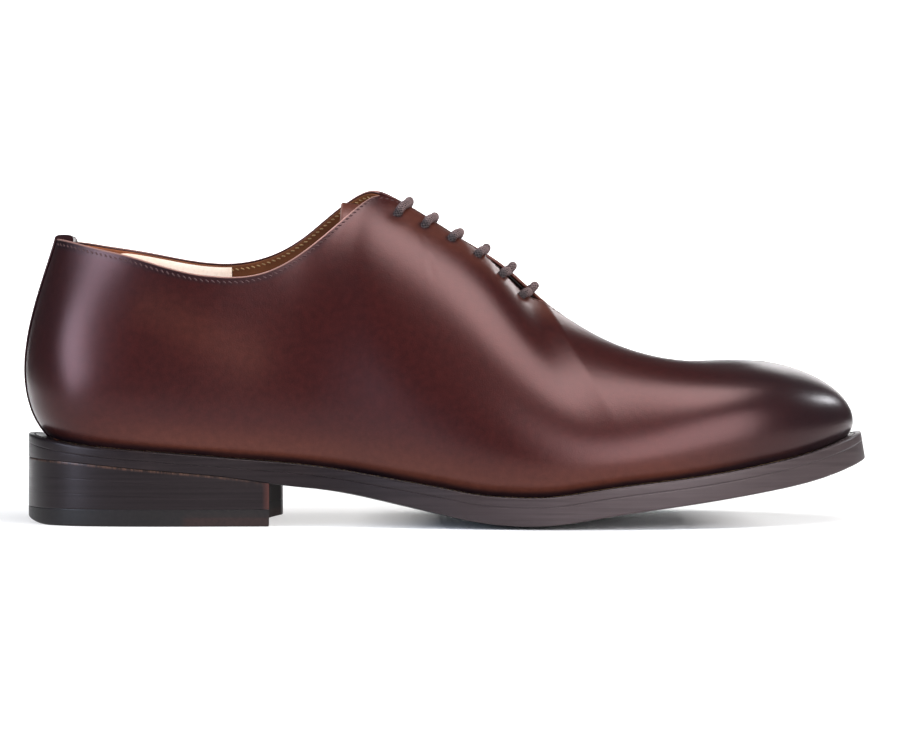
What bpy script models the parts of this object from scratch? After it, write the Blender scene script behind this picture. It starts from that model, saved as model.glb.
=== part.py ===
"""A right-foot oxford shoe whose upper is cut from one piece of leather, standing empty on its sole.

The tables are in millimetres or in shares of the driving dimensions, and the scene is in metres.
+X points to the toe, +Y to the medial (inner) side of the foot and +Z up.
The origin is on the floor, in the middle of the shoe's box.
"""

from collections import namedtuple

import bmesh
import bpy
import numpy as np
from mathutils import Vector
from mathutils.bvhtree import BVHTree

# Driving dimensions, in millimetres
LENGTH = 308.0  # sole, from heel to toe
BALL_WIDTH = 104.0  # sole across the ball of the foot
INSTEP_HEIGHT = 120.2  # floor to the top of the lacing
HEEL_HEIGHT = 23.6  # floor to the underside of the outsole at the back
TOE_SPRING = 23.0  # floor to the underside of the outsole at the toe
UPPER_WALL = 2.0  # leather and lining together
WELT_THICKNESS = 3.2
WELT_INSIDE = 2.6  # how far the welt runs in under the foot of the upper
TOP_PIECE_HEIGHT = 6.0
HEEL_BREAST = -62.5  # where the front face of the heel meets its two sides
BREAST_HOLLOW = 4.0  # how far the middle of that face is set back
BEVEL_HEIGHT = 2.4  # the back edge of the top piece is raised this much
BEVEL_LENGTH = 12.0
INSOLE_INSET = 3.2  # insole edge to the foot of the upper
INSOLE_ABOVE_WELT = 2.0
TONGUE_THICKNESS = 1.6
LACE_RADIUS = 1.4
LACE_REACH = 10.5  # from the middle of the throat to the eyelets
GAP = 0.3  # clearance between pieces that meet

MM = 0.001
MERGE = 1e-6  # metres: points that close are one point
POINTED = 0.01  # millimetres: a slab no wider than this ends in a point
SHARP_ANGLE = 0.7  # radians: steeper folds are shaded as edges
LATERAL, MEDIAL = -1, 1

# One row for each section of the upper, standing square to the sole's edge.
# along and aside place the sole's edge, as shares of LENGTH and BALL_WIDTH from the middle.
# reach is how far the foot of the upper stands in from that edge, and the rest shape its side:
# belly, middle and brow are measured out from the foot. The first two are measured up from it too,
# and the brow down from the top.
Section = namedtuple(
    "Section", "along aside reach belly_out belly_up middle_out middle_up brow_out brow_drop"
)
HEEL_SECTION = Section(-0.496, 0, 7.6, 8, 8, 15.5, 26, 3.2, 22)
TOE_SECTION = Section(0.5, 0.043, 4.6, 4, 5, 3, 15, -12, 2.5)
LATERAL_SECTIONS = (
    Section(-0.462, -0.236, 6.6, 8, 7.5, 12.5, 27, -1.2, 21),
    Section(-0.383, -0.323, 5.0, 6, 8, 8, 28, -0.2, 20),
    Section(-0.276, -0.327, 4.5, 6, 8, 7, 26, 1.6, 18),
    Section(-0.156, -0.327, 5.0, 6.5, 8, 8, 30, 2, 22),
    Section(-0.039, -0.409, 5.5, 7, 8, 9.8, 37, 0.8, 24),
    Section(0.091, -0.495, 5.5, 7, 8, 9.8, 20, -12.4, 1.2),
    Section(0.221, -0.49, 5.5, 7, 7, 6.4, 22.8, -24.8, 8),
    Section(0.344, -0.394, 5.2, 6, 6, 7.2, 32.3, -14.2, 0.2),
    Section(0.448, -0.207, 4.8, 5, 5, 4.3, 23.2, -9.7, 0.2),
)
MEDIAL_SECTIONS = (
    Section(-0.462, 0.236, 6.6, 8, 7.5, 12.5, 27, -1.2, 21),
    Section(-0.386, 0.32, 5.0, 6, 8, 8, 28, -0.2, 20),
    Section(-0.282, 0.308, 4.5, 6, 8, 7, 26, 2, 18),
    Section(-0.162, 0.293, 5.0, 6.5, 8, 8, 30, 3.5, 24),
    Section(-0.039, 0.332, 5.5, 7, 8, 10.2, 38, 5, 24.5),
    Section(0.084, 0.438, 5.5, 6, 8, 9, 25, -2.2, 3.2),
    Section(0.208, 0.505, 5.5, 6, 7, 5.6, 23.5, -17, 6),
    Section(0.334, 0.46, 5.2, 5, 6, 5.4, 29.5, -15, 0.2),
    Section(0.448, 0.288, 4.8, 4, 5, 3.4, 22, -10.5, 0.2),
)

TOE_STATION = len(LATERAL_SECTIONS) + 1
LOOP_STATIONS = 2 * TOE_STATION
MIDDLE_SLANT = 0.45  # how far the middle of a section follows its top along the sole

# The upper's top line: round the collar, down the throat and along the ridge of the vamp to the toe.
# station counts the sections from the heel (0) to the toe (10), along and rise are shares of LENGTH and
# INSTEP_HEIGHT, and the gaps open the line to each side. medial_rise lifts the inner collar, and
# lateral_drop lowers the outer collar in front and the outer facing where the throat gapes.
TopRow = namedtuple("TopRow", "station along aside rise lateral_gap medial_gap medial_rise lateral_drop")
TOP_LINE = (
    TopRow(0.0, -0.462, 0, 0.875, 0, 0, 0, 0),
    TopRow(0.5, -0.455, 0, 0.863, 8, 8, 0.3, 0),
    TopRow(1.0, -0.433, 0, 0.838, 14.5, 14.5, 1.6, 0),
    TopRow(2.0, -0.364, 0, 0.792, 25, 24.5, 4, 0),
    TopRow(3.0, -0.269, 0, 0.734, 28.5, 27, 7, 0),
    TopRow(3.6, -0.214, 0, 0.757, 27.5, 26, 7.5, 1.8),
    TopRow(4.2, -0.166, 0, 0.834, 24, 22.5, 6.8, 3.2),
    TopRow(4.7, -0.125, 0, 0.928, 16, 15, 5.1, 3.3),
    TopRow(5.0, -0.098, 0.5, 0.984, 9, 8.6, 2.7, 2.3),
    TopRow(5.25, -0.079, 0.5, 0.996, 4.4, 4.3, 1.1, 0.9),
    TopRow(5.5, -0.055, 0.5, 0.973, 2.5, 2.5, 0.3, 0.2),
    TopRow(6.0, 0.006, 0.5, 0.878, 1.8, 1.8, 0, 0.1),
    TopRow(6.25, 0.0377, 0.7, 0.8296, 2.6, 2.1, 0, 1),
    TopRow(6.5, 0.067, 1, 0.78, 3.8, 2.3, 0, 3.2),
    TopRow(6.75, 0.0924, 1.25, 0.7243, 3.2, 1.7, 0, 4),
    TopRow(7.0, 0.117, 1.5, 0.668, 0, 0, 0, 0),
    TopRow(7.4, 0.162, 2, 0.589, 0, 0, 0, 0),
    TopRow(8.0, 0.24, 3, 0.499, 0, 0, 0, 0),
    TopRow(8.6, 0.304, 4, 0.488, 0, 0, 0, 0),
    TopRow(9.3, 0.353, 4.3, 0.49, 0, 0, 0, 0),
    TopRow(10.0, 0.377, 4.5, 0.487, 0, 0, 0, 0),
)
THROAT_END = 7.0  # station where the throat closes
MIRRORED_ROWS = 4

# The sole seen from the side. heel_share and spring_share lift its underside, as shares of HEEL_HEIGHT
# and TOE_SPRING. thickness is outsole and welt at the edge, and crown is how far the edges stand above
# the middle.
Profile = namedtuple("Profile", "along heel_share spring_share thickness crown")
SOLE_PROFILE = (
    Profile(-0.5, 1.0, 0, 9.1, 0),
    Profile(-0.445, 0.965, 0, 6.6, 0),
    Profile(-0.357, 0.86, 0, 6.3, 0),
    Profile(-0.234, 0.703, 0, 7.0, 0),
    Profile(-0.182, 0.58, 0, 8.0, 0.6),
    Profile(-0.13, 0.487, 0, 7.8, 1.2),
    Profile(-0.065, 0.317, 0, 8.2, 1.5),
    Profile(0, 0.127, 0, 9.2, 1.6),
    Profile(0.032, 0.043, 0, 9.4, 1.6),
    Profile(0.071, -0.008, 0, 9.7, 1.6),
    Profile(0.097, 0, -0.015, 9.7, 1.6),
    Profile(0.123, 0, 0.007, 9.6, 1.6),
    Profile(0.175, 0, 0.113, 9.5, 1.6),
    Profile(0.282, 0, 0.315, 9.1, 1.5),
    Profile(0.36, 0, 0.478, 9.3, 1.3),
    Profile(0.438, 0, 0.71, 9.8, 0.6),
    Profile(0.5, 0, 0.99, 10.0, 0),
)
FLAT_MIDDLE = 0.45  # share of the half width that stays flat across the sole
EDGE_LEAN = 0.45  # how far the sole's edge leans square to the sprung sole

# The middle of the tongue's top face, from its free end down to the vamp, in millimetres.
TongueRow = namedtuple("TongueRow", "along_mm rise_mm half_width side_drop")
TONGUE_ROWS = (
    TongueRow(-38, 116.5, 18, 19.5),
    TongueRow(-26, 114.6, 17.5, 21.5),
    TongueRow(-8, 106.0, 16.5, 14.5),
    TongueRow(12, 93.2, 15.5, 7.5),
    TongueRow(22, 85.2, 14.6, 5.4),
    TongueRow(30, 78.2, 13.5, 3.6),
    TongueRow(42, 71.4, 11, 1.2),
)
TONGUE_ROUNDING = 1.4  # power of the share across: 1 is a straight roof, 2 a parabola

# Where each lace bar crosses the middle of the throat, in millimetres from the middle of the shoe.
LACE_CROSSINGS = (-14.5, -5.3, 4.0, 13.6, 23.0, 31.0)

# How finely the stations are cut, from the heel to the toe.
StationRun = namedtuple("StationRun", "first last steps")
STATION_RUNS = (
    StationRun(0, 1, 8),
    StationRun(1, 4.5, 14),
    StationRun(4.5, 5.5, 8),
    StationRun(5.5, 8.5, 12),
    StationRun(8.5, 10, 12),
)
RISE_STEPS = 9  # from the foot of the upper to its top
HEEL_STEPS = 20  # from the back of the heel to its front face
HEEL_CROWDING = 1.3  # power that draws those steps towards the back, where it is round
TONGUE_STEPS = 14
LACE_ROUNDING = 2  # bevel steps of the cord's round section
SEARCH_STEPS = 400  # for finding the station of a place along the shoe
ACROSS_SOLE = (-1, -0.75, -FLAT_MIDDLE, 0, FLAT_MIDDLE, 0.75, 1)
ACROSS_TONGUE = np.linspace(-1, 1, 9)
ACROSS_LACE = np.linspace(-1, 1, 11)

Finish = namedtuple("Finish", "color roughness")
LEATHER = Finish((0.10, 0.032, 0.018, 1), 0.35)
EDGE_LEATHER = Finish((0.022, 0.014, 0.011, 1), 0.4)
TOP_PIECE_RUBBER = Finish((0.03, 0.02, 0.016, 1), 0.6)
SOCK_LEATHER = Finish((0.45, 0.34, 0.2, 1), 0.6)
LACE_COTTON = Finish((0.04, 0.03, 0.026, 1), 0.7)


def spline(knots, values):
    """A natural cubic spline through the rows of values, as a function of the knot."""
    knots = np.asarray(knots, float)
    values = np.asarray(values, float)
    steps = np.diff(knots)
    slopes = np.diff(values, axis=0) / steps[:, None]
    system = np.eye(len(knots))
    bends = np.zeros_like(values)
    for i in range(1, len(knots) - 1):
        system[i, i - 1 : i + 2] = steps[i - 1], 2 * (steps[i - 1] + steps[i]), steps[i]
        bends[i] = 6 * (slopes[i] - slopes[i - 1])
    bends = np.linalg.solve(system, bends)

    def at(where):
        where = np.asarray(where, float)
        i = np.clip(np.searchsorted(knots, where, side="right") - 1, 0, len(steps) - 1)
        step = steps[i][..., None]
        before = (knots[i + 1] - where)[..., None] / step
        after = 1 - before
        bow = (before**3 - before) * bends[i] + (after**3 - after) * bends[i + 1]
        return before * values[i] + after * values[i + 1] + bow * step**2 / 6

    return at


def section_loop():
    """The sections as one closed loop: heel, lateral side, toe, medial side."""
    rows = (HEEL_SECTION, *LATERAL_SECTIONS, TOE_SECTION, *MEDIAL_SECTIONS[::-1])
    loop = np.array(rows, float)
    loop[:, 0] *= LENGTH
    loop[:, 1] *= BALL_WIDTH
    overlap = len(loop) // 2
    knots = np.arange(-overlap, len(loop) + overlap)
    return spline(knots, loop[knots % len(loop)])


def top_splines():
    """The top line's middle, and how far it opens to each side before the throat closes.

    The rows are mirrored past the heel and the toe, so that both sides run on smoothly there.
    """
    rows = np.array(TOP_LINE, float)
    rows[:, 1] *= LENGTH
    rows[:, 3] *= INSTEP_HEIGHT
    before_heel = rows[MIRRORED_ROWS:0:-1] * (-1, 1, 1, 1, -1, -1, 1, 1)
    past_toe = rows[-2 : -2 - MIRRORED_ROWS : -1].copy()
    past_toe[:, 0] = 2 * TOE_STATION - past_toe[:, 0]
    whole = np.concatenate([before_heel, rows, past_toe])
    opened = whole[whole[:, 0] <= THROAT_END]
    return spline(whole[:, 0], whole[:, 1:4]), spline(opened[:, 0], opened[:, 4:])


def profile_spline():
    rows = np.array(SOLE_PROFILE, float)
    lift = rows[:, 1] * HEEL_HEIGHT + rows[:, 2] * TOE_SPRING
    return spline(rows[:, 0] * LENGTH, np.column_stack([lift, rows[:, 3:5]]))


SECTIONS = section_loop()
TOP_MIDDLE, TOP_OPENING = top_splines()
PROFILE = profile_spline()


def stations():
    """The stations from heel to toe, closer together where the shape turns."""
    runs = [np.linspace(r.first, r.last, r.steps, endpoint=False) for r in STATION_RUNS]
    return np.append(np.concatenate(runs), TOE_STATION)


def loop_place(station, side):
    """The place of a station on the closed loop of sections."""
    return station if side == LATERAL else LOOP_STATIONS - station


def outward(place):
    """The direction out of the sole's edge, in plan."""
    nudge = 1e-3
    along = SECTIONS(place + nudge)[..., :2] - SECTIONS(place - nudge)[..., :2]
    along /= np.linalg.norm(along, axis=-1, keepdims=True)
    return np.stack([along[..., 1], -along[..., 0]], -1)


def sole_outline(station, side, inset=0.0):
    """The sole's edge in plan, or a line inside it."""
    place = loop_place(station, side)
    return SECTIONS(place)[..., :2] - outward(place) * np.asarray(inset)[..., None]


def upper_foot(station, side, inset=0.0):
    """The line in plan where the upper stands on the welt, or a line inside that."""
    reach = SECTIONS(loop_place(station, side))[..., 2]
    return sole_outline(station, side, reach + inset)


def share_across(station, plan):
    """How far out a point lies, from 0 in the middle of the sole to 1 on its edge."""
    lateral = sole_outline(station, LATERAL)
    medial = sole_outline(station, MEDIAL)
    half = np.linalg.norm(medial - lateral, axis=-1) / 2
    out = np.linalg.norm(plan - (lateral + medial) / 2, axis=-1)
    return np.where(half > 1, np.minimum(out / np.maximum(half, 1), 1), 1)


def smooth_step(share):
    share = np.clip(share, 0, 1)
    return share * share * (3 - 2 * share)


def sole_height(x, across, level):
    """The height of a layer of the sole, level millimetres above its underside."""
    lift, _, crown = np.moveaxis(PROFILE(x), -1, 0)
    return lift + crown * smooth_step((np.abs(across) - FLAT_MIDDLE) / (1 - FLAT_MIDDLE)) + level


def sole_thickness(x):
    return PROFILE(x)[..., 1]


def leaned(plan, level):
    """Moves a point of the sole's edge with its height, so that the edge stands square to the sprung sole."""
    nudge = 1.0
    slope = (PROFILE(plan[..., 0] + nudge)[..., 0] - PROFILE(plan[..., 0] - nudge)[..., 0]) / (2 * nudge)
    moved = plan.copy()
    moved[..., 0] -= EDGE_LEAN * np.maximum(slope, 0) * level
    return moved


def raised(plan, height):
    return np.concatenate([plan, np.asarray(height)[..., None]], -1)


def top_point(station, side):
    """A point of the upper's top line."""
    point = TOP_MIDDLE(station)
    opening = np.maximum(TOP_OPENING(np.minimum(station, THROAT_END)), 0)
    opening[station >= THROAT_END] = 0
    opening[station <= 0] = 0
    if side == LATERAL:
        point[..., 1] -= opening[..., 0]
        point[..., 2] -= opening[..., 3]
    else:
        point[..., 1] += opening[..., 1]
        point[..., 2] += opening[..., 2]
    return point


def upper_surface(station, rise, side):
    """Points of the upper's outer face, a row for each rise (0 at its foot, 1 at the top line)."""
    place = loop_place(station, side)
    row = SECTIONS(place)
    out = outward(place)
    belly_out, belly_up, middle_out, middle_up, brow_out, brow_drop = np.moveaxis(row[..., 3:], -1, 0)
    foot = upper_foot(station, side)
    level = sole_thickness(foot[..., 0]) + GAP
    seat = sole_height(foot[..., 0], share_across(station, foot), level)
    foot = leaned(foot, level)
    top = top_point(station, side)
    edge_way = np.stack([-out[..., 1], out[..., 0]], -1)
    slant = np.sum((top[..., :2] - foot) * edge_way, -1, keepdims=True) * edge_way
    handles = (
        raised(foot, seat),
        raised(foot + out * belly_out[..., None], seat + belly_up),
        raised(foot + out * middle_out[..., None] + slant * MIDDLE_SLANT, seat + middle_up),
        raised(foot + out * brow_out[..., None] + slant, top[..., 2] - brow_drop),
        top,
    )
    rise = np.asarray(rise, float)[:, None, None]
    fall = 1 - rise
    weights = (fall**4, 4 * rise * fall**3, 6 * rise**2 * fall**2, 4 * rise**3 * fall, rise**4)
    return sum(weight * handle[None] for weight, handle in zip(weights, handles))


def clear_scene():
    for thing in list(bpy.data.objects):
        bpy.data.objects.remove(thing, do_unlink=True)


def material(name, finish):
    made = bpy.data.materials.new(name)
    made.use_nodes = True
    shader = made.node_tree.nodes["Principled BSDF"]
    shader.inputs["Base Color"].default_value = finish.color
    shader.inputs["Roughness"].default_value = finish.roughness
    shader.inputs["Metallic"].default_value = 0.0
    return made


def grid_faces(rows, columns, first=0, turned=False):
    """The quads of a grid of points stored row by row."""
    faces = []
    for i in range(rows - 1):
        for j in range(columns - 1):
            a = first + i * columns + j
            quad = (a, a + 1, a + columns + 1, a + columns)
            faces.append(quad[::-1] if turned else quad)
    return faces


def add_mesh(name, points, faces, root, look, closed=True):
    """One object from points in millimetres, with points that coincide merged."""
    mesh = bpy.data.meshes.new(name)
    mesh.from_pydata((np.asarray(points) * MM).tolist(), [], faces)
    shape = bmesh.new()
    shape.from_mesh(mesh)
    bmesh.ops.remove_doubles(shape, verts=shape.verts, dist=MERGE)
    if closed:
        bmesh.ops.recalc_face_normals(shape, faces=shape.faces)
    shape.to_mesh(mesh)
    shape.free()
    mesh.materials.append(look)
    mesh.shade_smooth()
    mesh.set_sharp_from_angle(angle=SHARP_ANGLE)
    made = bpy.data.objects.new(name, mesh)
    bpy.context.scene.collection.objects.link(made)
    made.parent = root
    return made


def add_slab(name, lateral, medial, across, top, bottom, root, look):
    """A solid between two outlines in plan, a row for each pair of their points.

    top and bottom give the height of a point from its plan and its share across.
    """
    across = np.asarray(across, float)
    share = (across[None, :, None] + 1) / 2
    plan = lateral[:, None] * (1 - share) + medial[:, None] * share
    rows, columns = plan.shape[:2]
    width = np.linalg.norm(medial - lateral, axis=-1)[:, None]
    spread = np.where(width > POINTED, across, 1)
    levels = [raised(*height(plan, spread)).reshape(-1, 3) for height in (top, bottom)]
    count = rows * columns
    faces = grid_faces(rows, columns) + grid_faces(rows, columns, count, turned=True)
    rim = list(range(columns))
    rim += [i * columns + columns - 1 for i in range(1, rows)]
    rim += [(rows - 1) * columns + j for j in range(columns - 2, -1, -1)]
    rim += [i * columns for i in range(rows - 2, 0, -1)]
    for a, b in zip(rim, rim[1:] + rim[:1]):
        faces.append((a, b, b + count, a + count))
    return add_mesh(name, np.concatenate(levels), faces, root, look)


def add_outsole(root, look):
    cuts = stations()

    def top(plan, across):
        level = sole_thickness(plan[..., 0]) - WELT_THICKNESS - GAP
        return leaned(plan, level), sole_height(plan[..., 0], across, level)

    def bottom(plan, across):
        return plan, np.maximum(sole_height(plan[..., 0], across, 0), 0)

    lateral = sole_outline(cuts, LATERAL)
    medial = sole_outline(cuts, MEDIAL)
    return add_slab("outsole", lateral, medial, ACROSS_SOLE, top, bottom, root, look)


def add_welt(root, look):
    """A ring all the way round, with four corners in each cut."""
    cuts = stations()
    rings = []
    for side, order in ((LATERAL, cuts), (MEDIAL, cuts[-2:0:-1])):
        outer = sole_outline(order, side)
        inner = upper_foot(order, side, WELT_INSIDE)
        corners = []
        for plan, down in ((outer, WELT_THICKNESS), (outer, 0), (inner, 0), (inner, WELT_THICKNESS)):
            level = sole_thickness(plan[..., 0]) - down
            height = sole_height(plan[..., 0], share_across(order, plan), level)
            corners.append(raised(leaned(plan, level), height))
        rings.append(np.stack(corners, 1))
    points = np.concatenate(rings)
    count, corner_count = points.shape[:2]
    faces = []
    for i in range(count):
        for j in range(corner_count):
            here = (i * corner_count + j, i * corner_count + (j + 1) % corner_count)
            ahead = [(index + corner_count) % (count * corner_count) for index in here]
            faces.append((here[0], here[1], ahead[1], ahead[0]))
    return add_mesh("welt", points.reshape(-1, 3), faces, root, look)


def breast_station(side):
    """The station where the sole's edge passes the front face of the heel."""
    cuts = np.linspace(0, TOE_STATION / 2, SEARCH_STEPS)
    return np.interp(HEEL_BREAST, sole_outline(cuts, side)[..., 0], cuts)


def heel_outlines():
    """The two sides of the heel, from its back to its front face."""
    share = np.linspace(0, 1, HEEL_STEPS + 1) ** HEEL_CROWDING
    return [sole_outline(share * breast_station(side), side) for side in (LATERAL, MEDIAL)]


def hollowed(plan, across):
    """Sets the middle of the heel's front face back, less and less towards the back of the heel."""
    start = -LENGTH / 2
    near_breast = smooth_step((plan[..., 0] - start) / (HEEL_BREAST - start)) ** 3
    moved = plan.copy()
    moved[..., 0] -= BREAST_HOLLOW * (1 - across**2) * near_breast
    return moved


def add_heel_stack(root, look):
    def top(plan, across):
        moved = hollowed(plan, across)
        return moved, sole_height(moved[..., 0], across, -GAP)

    def bottom(plan, across):
        return hollowed(plan, across), np.full(across.shape, TOP_PIECE_HEIGHT + GAP)

    return add_slab("heel_stack", *heel_outlines(), ACROSS_SOLE, top, bottom, root, look)


def add_heel_top_piece(root, look):
    def top(plan, across):
        return hollowed(plan, across), np.full(across.shape, TOP_PIECE_HEIGHT)

    def bottom(plan, across):
        back = HEEL_SECTION.along * LENGTH
        bevel = np.maximum(1 - (plan[..., 0] - back) / BEVEL_LENGTH, 0)
        return hollowed(plan, across), BEVEL_HEIGHT * bevel**2

    return add_slab("heel_top_piece", *heel_outlines(), ACROSS_SOLE, top, bottom, root, look)


def add_insole(root, look):
    cuts = stations()
    width = np.linalg.norm(sole_outline(cuts, LATERAL) - sole_outline(cuts, MEDIAL), axis=-1)
    wide = width > 4 * INSOLE_INSET
    cuts = np.concatenate([[0], cuts[wide], [TOE_STATION]])
    lateral = upper_foot(cuts, LATERAL, INSOLE_INSET)
    medial = upper_foot(cuts, MEDIAL, INSOLE_INSET)

    def top(plan, across):
        level = sole_thickness(plan[..., 0]) + INSOLE_ABOVE_WELT
        return leaned(plan, level), sole_height(plan[..., 0], across, level)

    def bottom(plan, across):
        level = sole_thickness(plan[..., 0]) - WELT_THICKNESS
        return leaned(plan, level), sole_height(plan[..., 0], across, level)

    return add_slab("insole", lateral, medial, ACROSS_SOLE, top, bottom, root, look)


def add_upper(root, look):
    """The outer face as one open sheet, given its wall by a Solidify modifier that works inwards."""
    cuts = stations()
    rise = np.linspace(0, 1, RISE_STEPS + 1)
    lateral = upper_surface(cuts, rise, LATERAL).reshape(-1, 3)
    medial = upper_surface(cuts, rise, MEDIAL).reshape(-1, 3)
    faces = grid_faces(len(rise), len(cuts))
    faces += grid_faces(len(rise), len(cuts), len(lateral), turned=True)
    upper = add_mesh("upper", np.concatenate([lateral, medial]), faces, root, look, closed=False)
    wall = upper.modifiers.new("wall", "SOLIDIFY")
    wall.thickness = UPPER_WALL * MM
    wall.offset = -1
    wall.use_even_offset = True
    wall.use_rim = True
    return upper


def add_tongue(root, look):
    rows = spline([row.along_mm for row in TONGUE_ROWS], np.array(TONGUE_ROWS, float)[:, 1:])
    x = np.linspace(TONGUE_ROWS[0].along_mm, TONGUE_ROWS[-1].along_mm, TONGUE_STEPS + 1)
    half_width = rows(x)[:, 1]
    middle = TOP_MIDDLE(np.interp(x, TOP_MIDDLE(stations())[:, 0], stations()))[:, 1]
    lateral = np.column_stack([x, middle - half_width])
    medial = np.column_stack([x, middle + half_width])

    def top(plan, across):
        rise, _, drop = np.moveaxis(rows(plan[..., 0]), -1, 0)
        return plan, rise - drop * np.abs(across) ** TONGUE_ROUNDING

    def bottom(plan, across):
        plan, height = top(plan, across)
        return plan, height - TONGUE_THICKNESS

    return add_slab("tongue", lateral, medial, ACROSS_TONGUE, top, bottom, root, look)


def lace_path(crossing, surface):
    """Points over the throat, in the plane square to its ridge, standing clear of the facings."""
    cuts = np.linspace(TOE_STATION / 2, TOE_STATION, SEARCH_STEPS)
    station = np.interp(crossing, TOP_MIDDLE(cuts)[:, 0], cuts)
    nudge = 0.05
    before, after = TOP_MIDDLE(np.array([station - nudge, station + nudge]))
    along = Vector(after - before).normalized()
    up = along.cross(Vector((0, 1, 0))).normalized()
    if up.z < 0:
        up = -up
    middle = Vector(TOP_MIDDLE(np.array([station]))[0])
    start_height = 25
    path = []
    for share in ACROSS_LACE:
        level = middle + Vector((0, share * LACE_REACH, 0))
        hit, normal, _, _ = surface.ray_cast((level + up * start_height) * MM, -up)
        if hit:
            path.append(hit / MM + up * (LACE_RADIUS + GAP) / normal.dot(up))
        else:
            path.append(level + up * (LACE_RADIUS + GAP))
    return path


def add_lace_bar(name, path, root, look):
    cord = bpy.data.curves.new(name, "CURVE")
    cord.dimensions = "3D"
    cord.bevel_depth = LACE_RADIUS * MM
    cord.bevel_resolution = LACE_ROUNDING
    cord.use_fill_caps = True
    line = cord.splines.new("POLY")
    line.points.add(len(path) - 1)
    for point, place in zip(line.points, path):
        point.co = (*(place * MM), 1)
    cord.materials.append(look)
    bar = bpy.data.objects.new(name, cord)
    bpy.context.scene.collection.objects.link(bar)
    bar.parent = root
    return bar


def add_lace(upper, root, look):
    shape = bmesh.new()
    shape.from_mesh(upper.data)
    surface = BVHTree.FromBMesh(shape)
    shape.free()
    for number, crossing in enumerate(LACE_CROSSINGS, 1):
        add_lace_bar(f"lace_bar_{number}", lace_path(crossing, surface), root, look)


def build():
    clear_scene()
    root = bpy.data.objects.new("shoe", None)
    bpy.context.scene.collection.objects.link(root)
    leather = material("upper_leather", LEATHER)
    edge = material("sole_edge", EDGE_LEATHER)
    add_outsole(root, edge)
    add_welt(root, edge)
    add_heel_stack(root, edge)
    add_heel_top_piece(root, material("top_piece_rubber", TOP_PIECE_RUBBER))
    add_insole(root, material("sock_leather", SOCK_LEATHER))
    upper = add_upper(root, leather)
    add_tongue(root, leather)
    add_lace(upper, root, material("lace_cotton", LACE_COTTON))


build()
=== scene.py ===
"""The looks of a right-foot wholecut oxford shoe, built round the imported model.

Shapes are worked out in millimetres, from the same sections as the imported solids, and stored in metres.
+X points to the toe, +Y to the medial (inner) side of the foot and +Z up.
"""

import math
from collections import namedtuple

import bpy
import numpy as np
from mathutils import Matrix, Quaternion, Vector
from mathutils.bvhtree import BVHTree


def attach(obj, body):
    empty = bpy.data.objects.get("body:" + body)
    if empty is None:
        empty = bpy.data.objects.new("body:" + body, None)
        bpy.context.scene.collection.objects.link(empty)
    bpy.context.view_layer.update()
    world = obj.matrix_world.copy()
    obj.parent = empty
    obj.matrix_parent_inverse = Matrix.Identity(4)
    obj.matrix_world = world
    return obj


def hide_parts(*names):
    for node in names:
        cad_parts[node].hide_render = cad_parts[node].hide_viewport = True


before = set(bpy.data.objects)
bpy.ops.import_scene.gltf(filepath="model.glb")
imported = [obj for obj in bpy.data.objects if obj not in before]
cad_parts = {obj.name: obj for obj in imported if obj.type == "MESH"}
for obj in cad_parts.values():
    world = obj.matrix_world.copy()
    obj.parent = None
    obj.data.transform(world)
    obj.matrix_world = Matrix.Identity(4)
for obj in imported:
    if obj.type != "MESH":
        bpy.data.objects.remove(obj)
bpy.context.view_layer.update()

# Driving dimensions, in millimetres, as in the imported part
LENGTH = 308.0
BALL_WIDTH = 104.0
INSTEP_HEIGHT = 120.2
HEEL_HEIGHT = 23.6
TOE_SPRING = 23.0
WELT_THICKNESS = 3.2
WELT_INSIDE = 2.6
TOP_PIECE_HEIGHT = 6.0
HEEL_BREAST = -62.5
BREAST_HOLLOW = 4.0
BEVEL_HEIGHT = 2.4
BEVEL_LENGTH = 12.0
INSOLE_INSET = 3.2
INSOLE_ABOVE_WELT = 2.0
TONGUE_THICKNESS = 1.6
LACE_RADIUS = 1.4
LACE_REACH = 10.5
LACE_HOOK = 1.4  # the ends of a bar bend this far back to their eyelets
GAP = 0.3

MM = 0.001
MERGE = 0.005  # millimetres: points that close are one point
POINTED = 0.01  # millimetres: a slab no wider than this ends in a point
LATERAL, MEDIAL = -1, 1
SIDES = (LATERAL, MEDIAL)
LAYER_GAP = 0.05  # sole, heel and top piece lie this far apart
FILM = 0.02  # and thin pieces this far off the face under them
SHARP_ANGLE = 50  # degrees: sharper edges aren't smoothed over
SEARCH_STEPS = 400  # points of a line in which a station is looked up


def rows_of(kind, *rows):
    """A table: one named tuple of a kind for each row."""
    return tuple(kind(*row) for row in rows)


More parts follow.
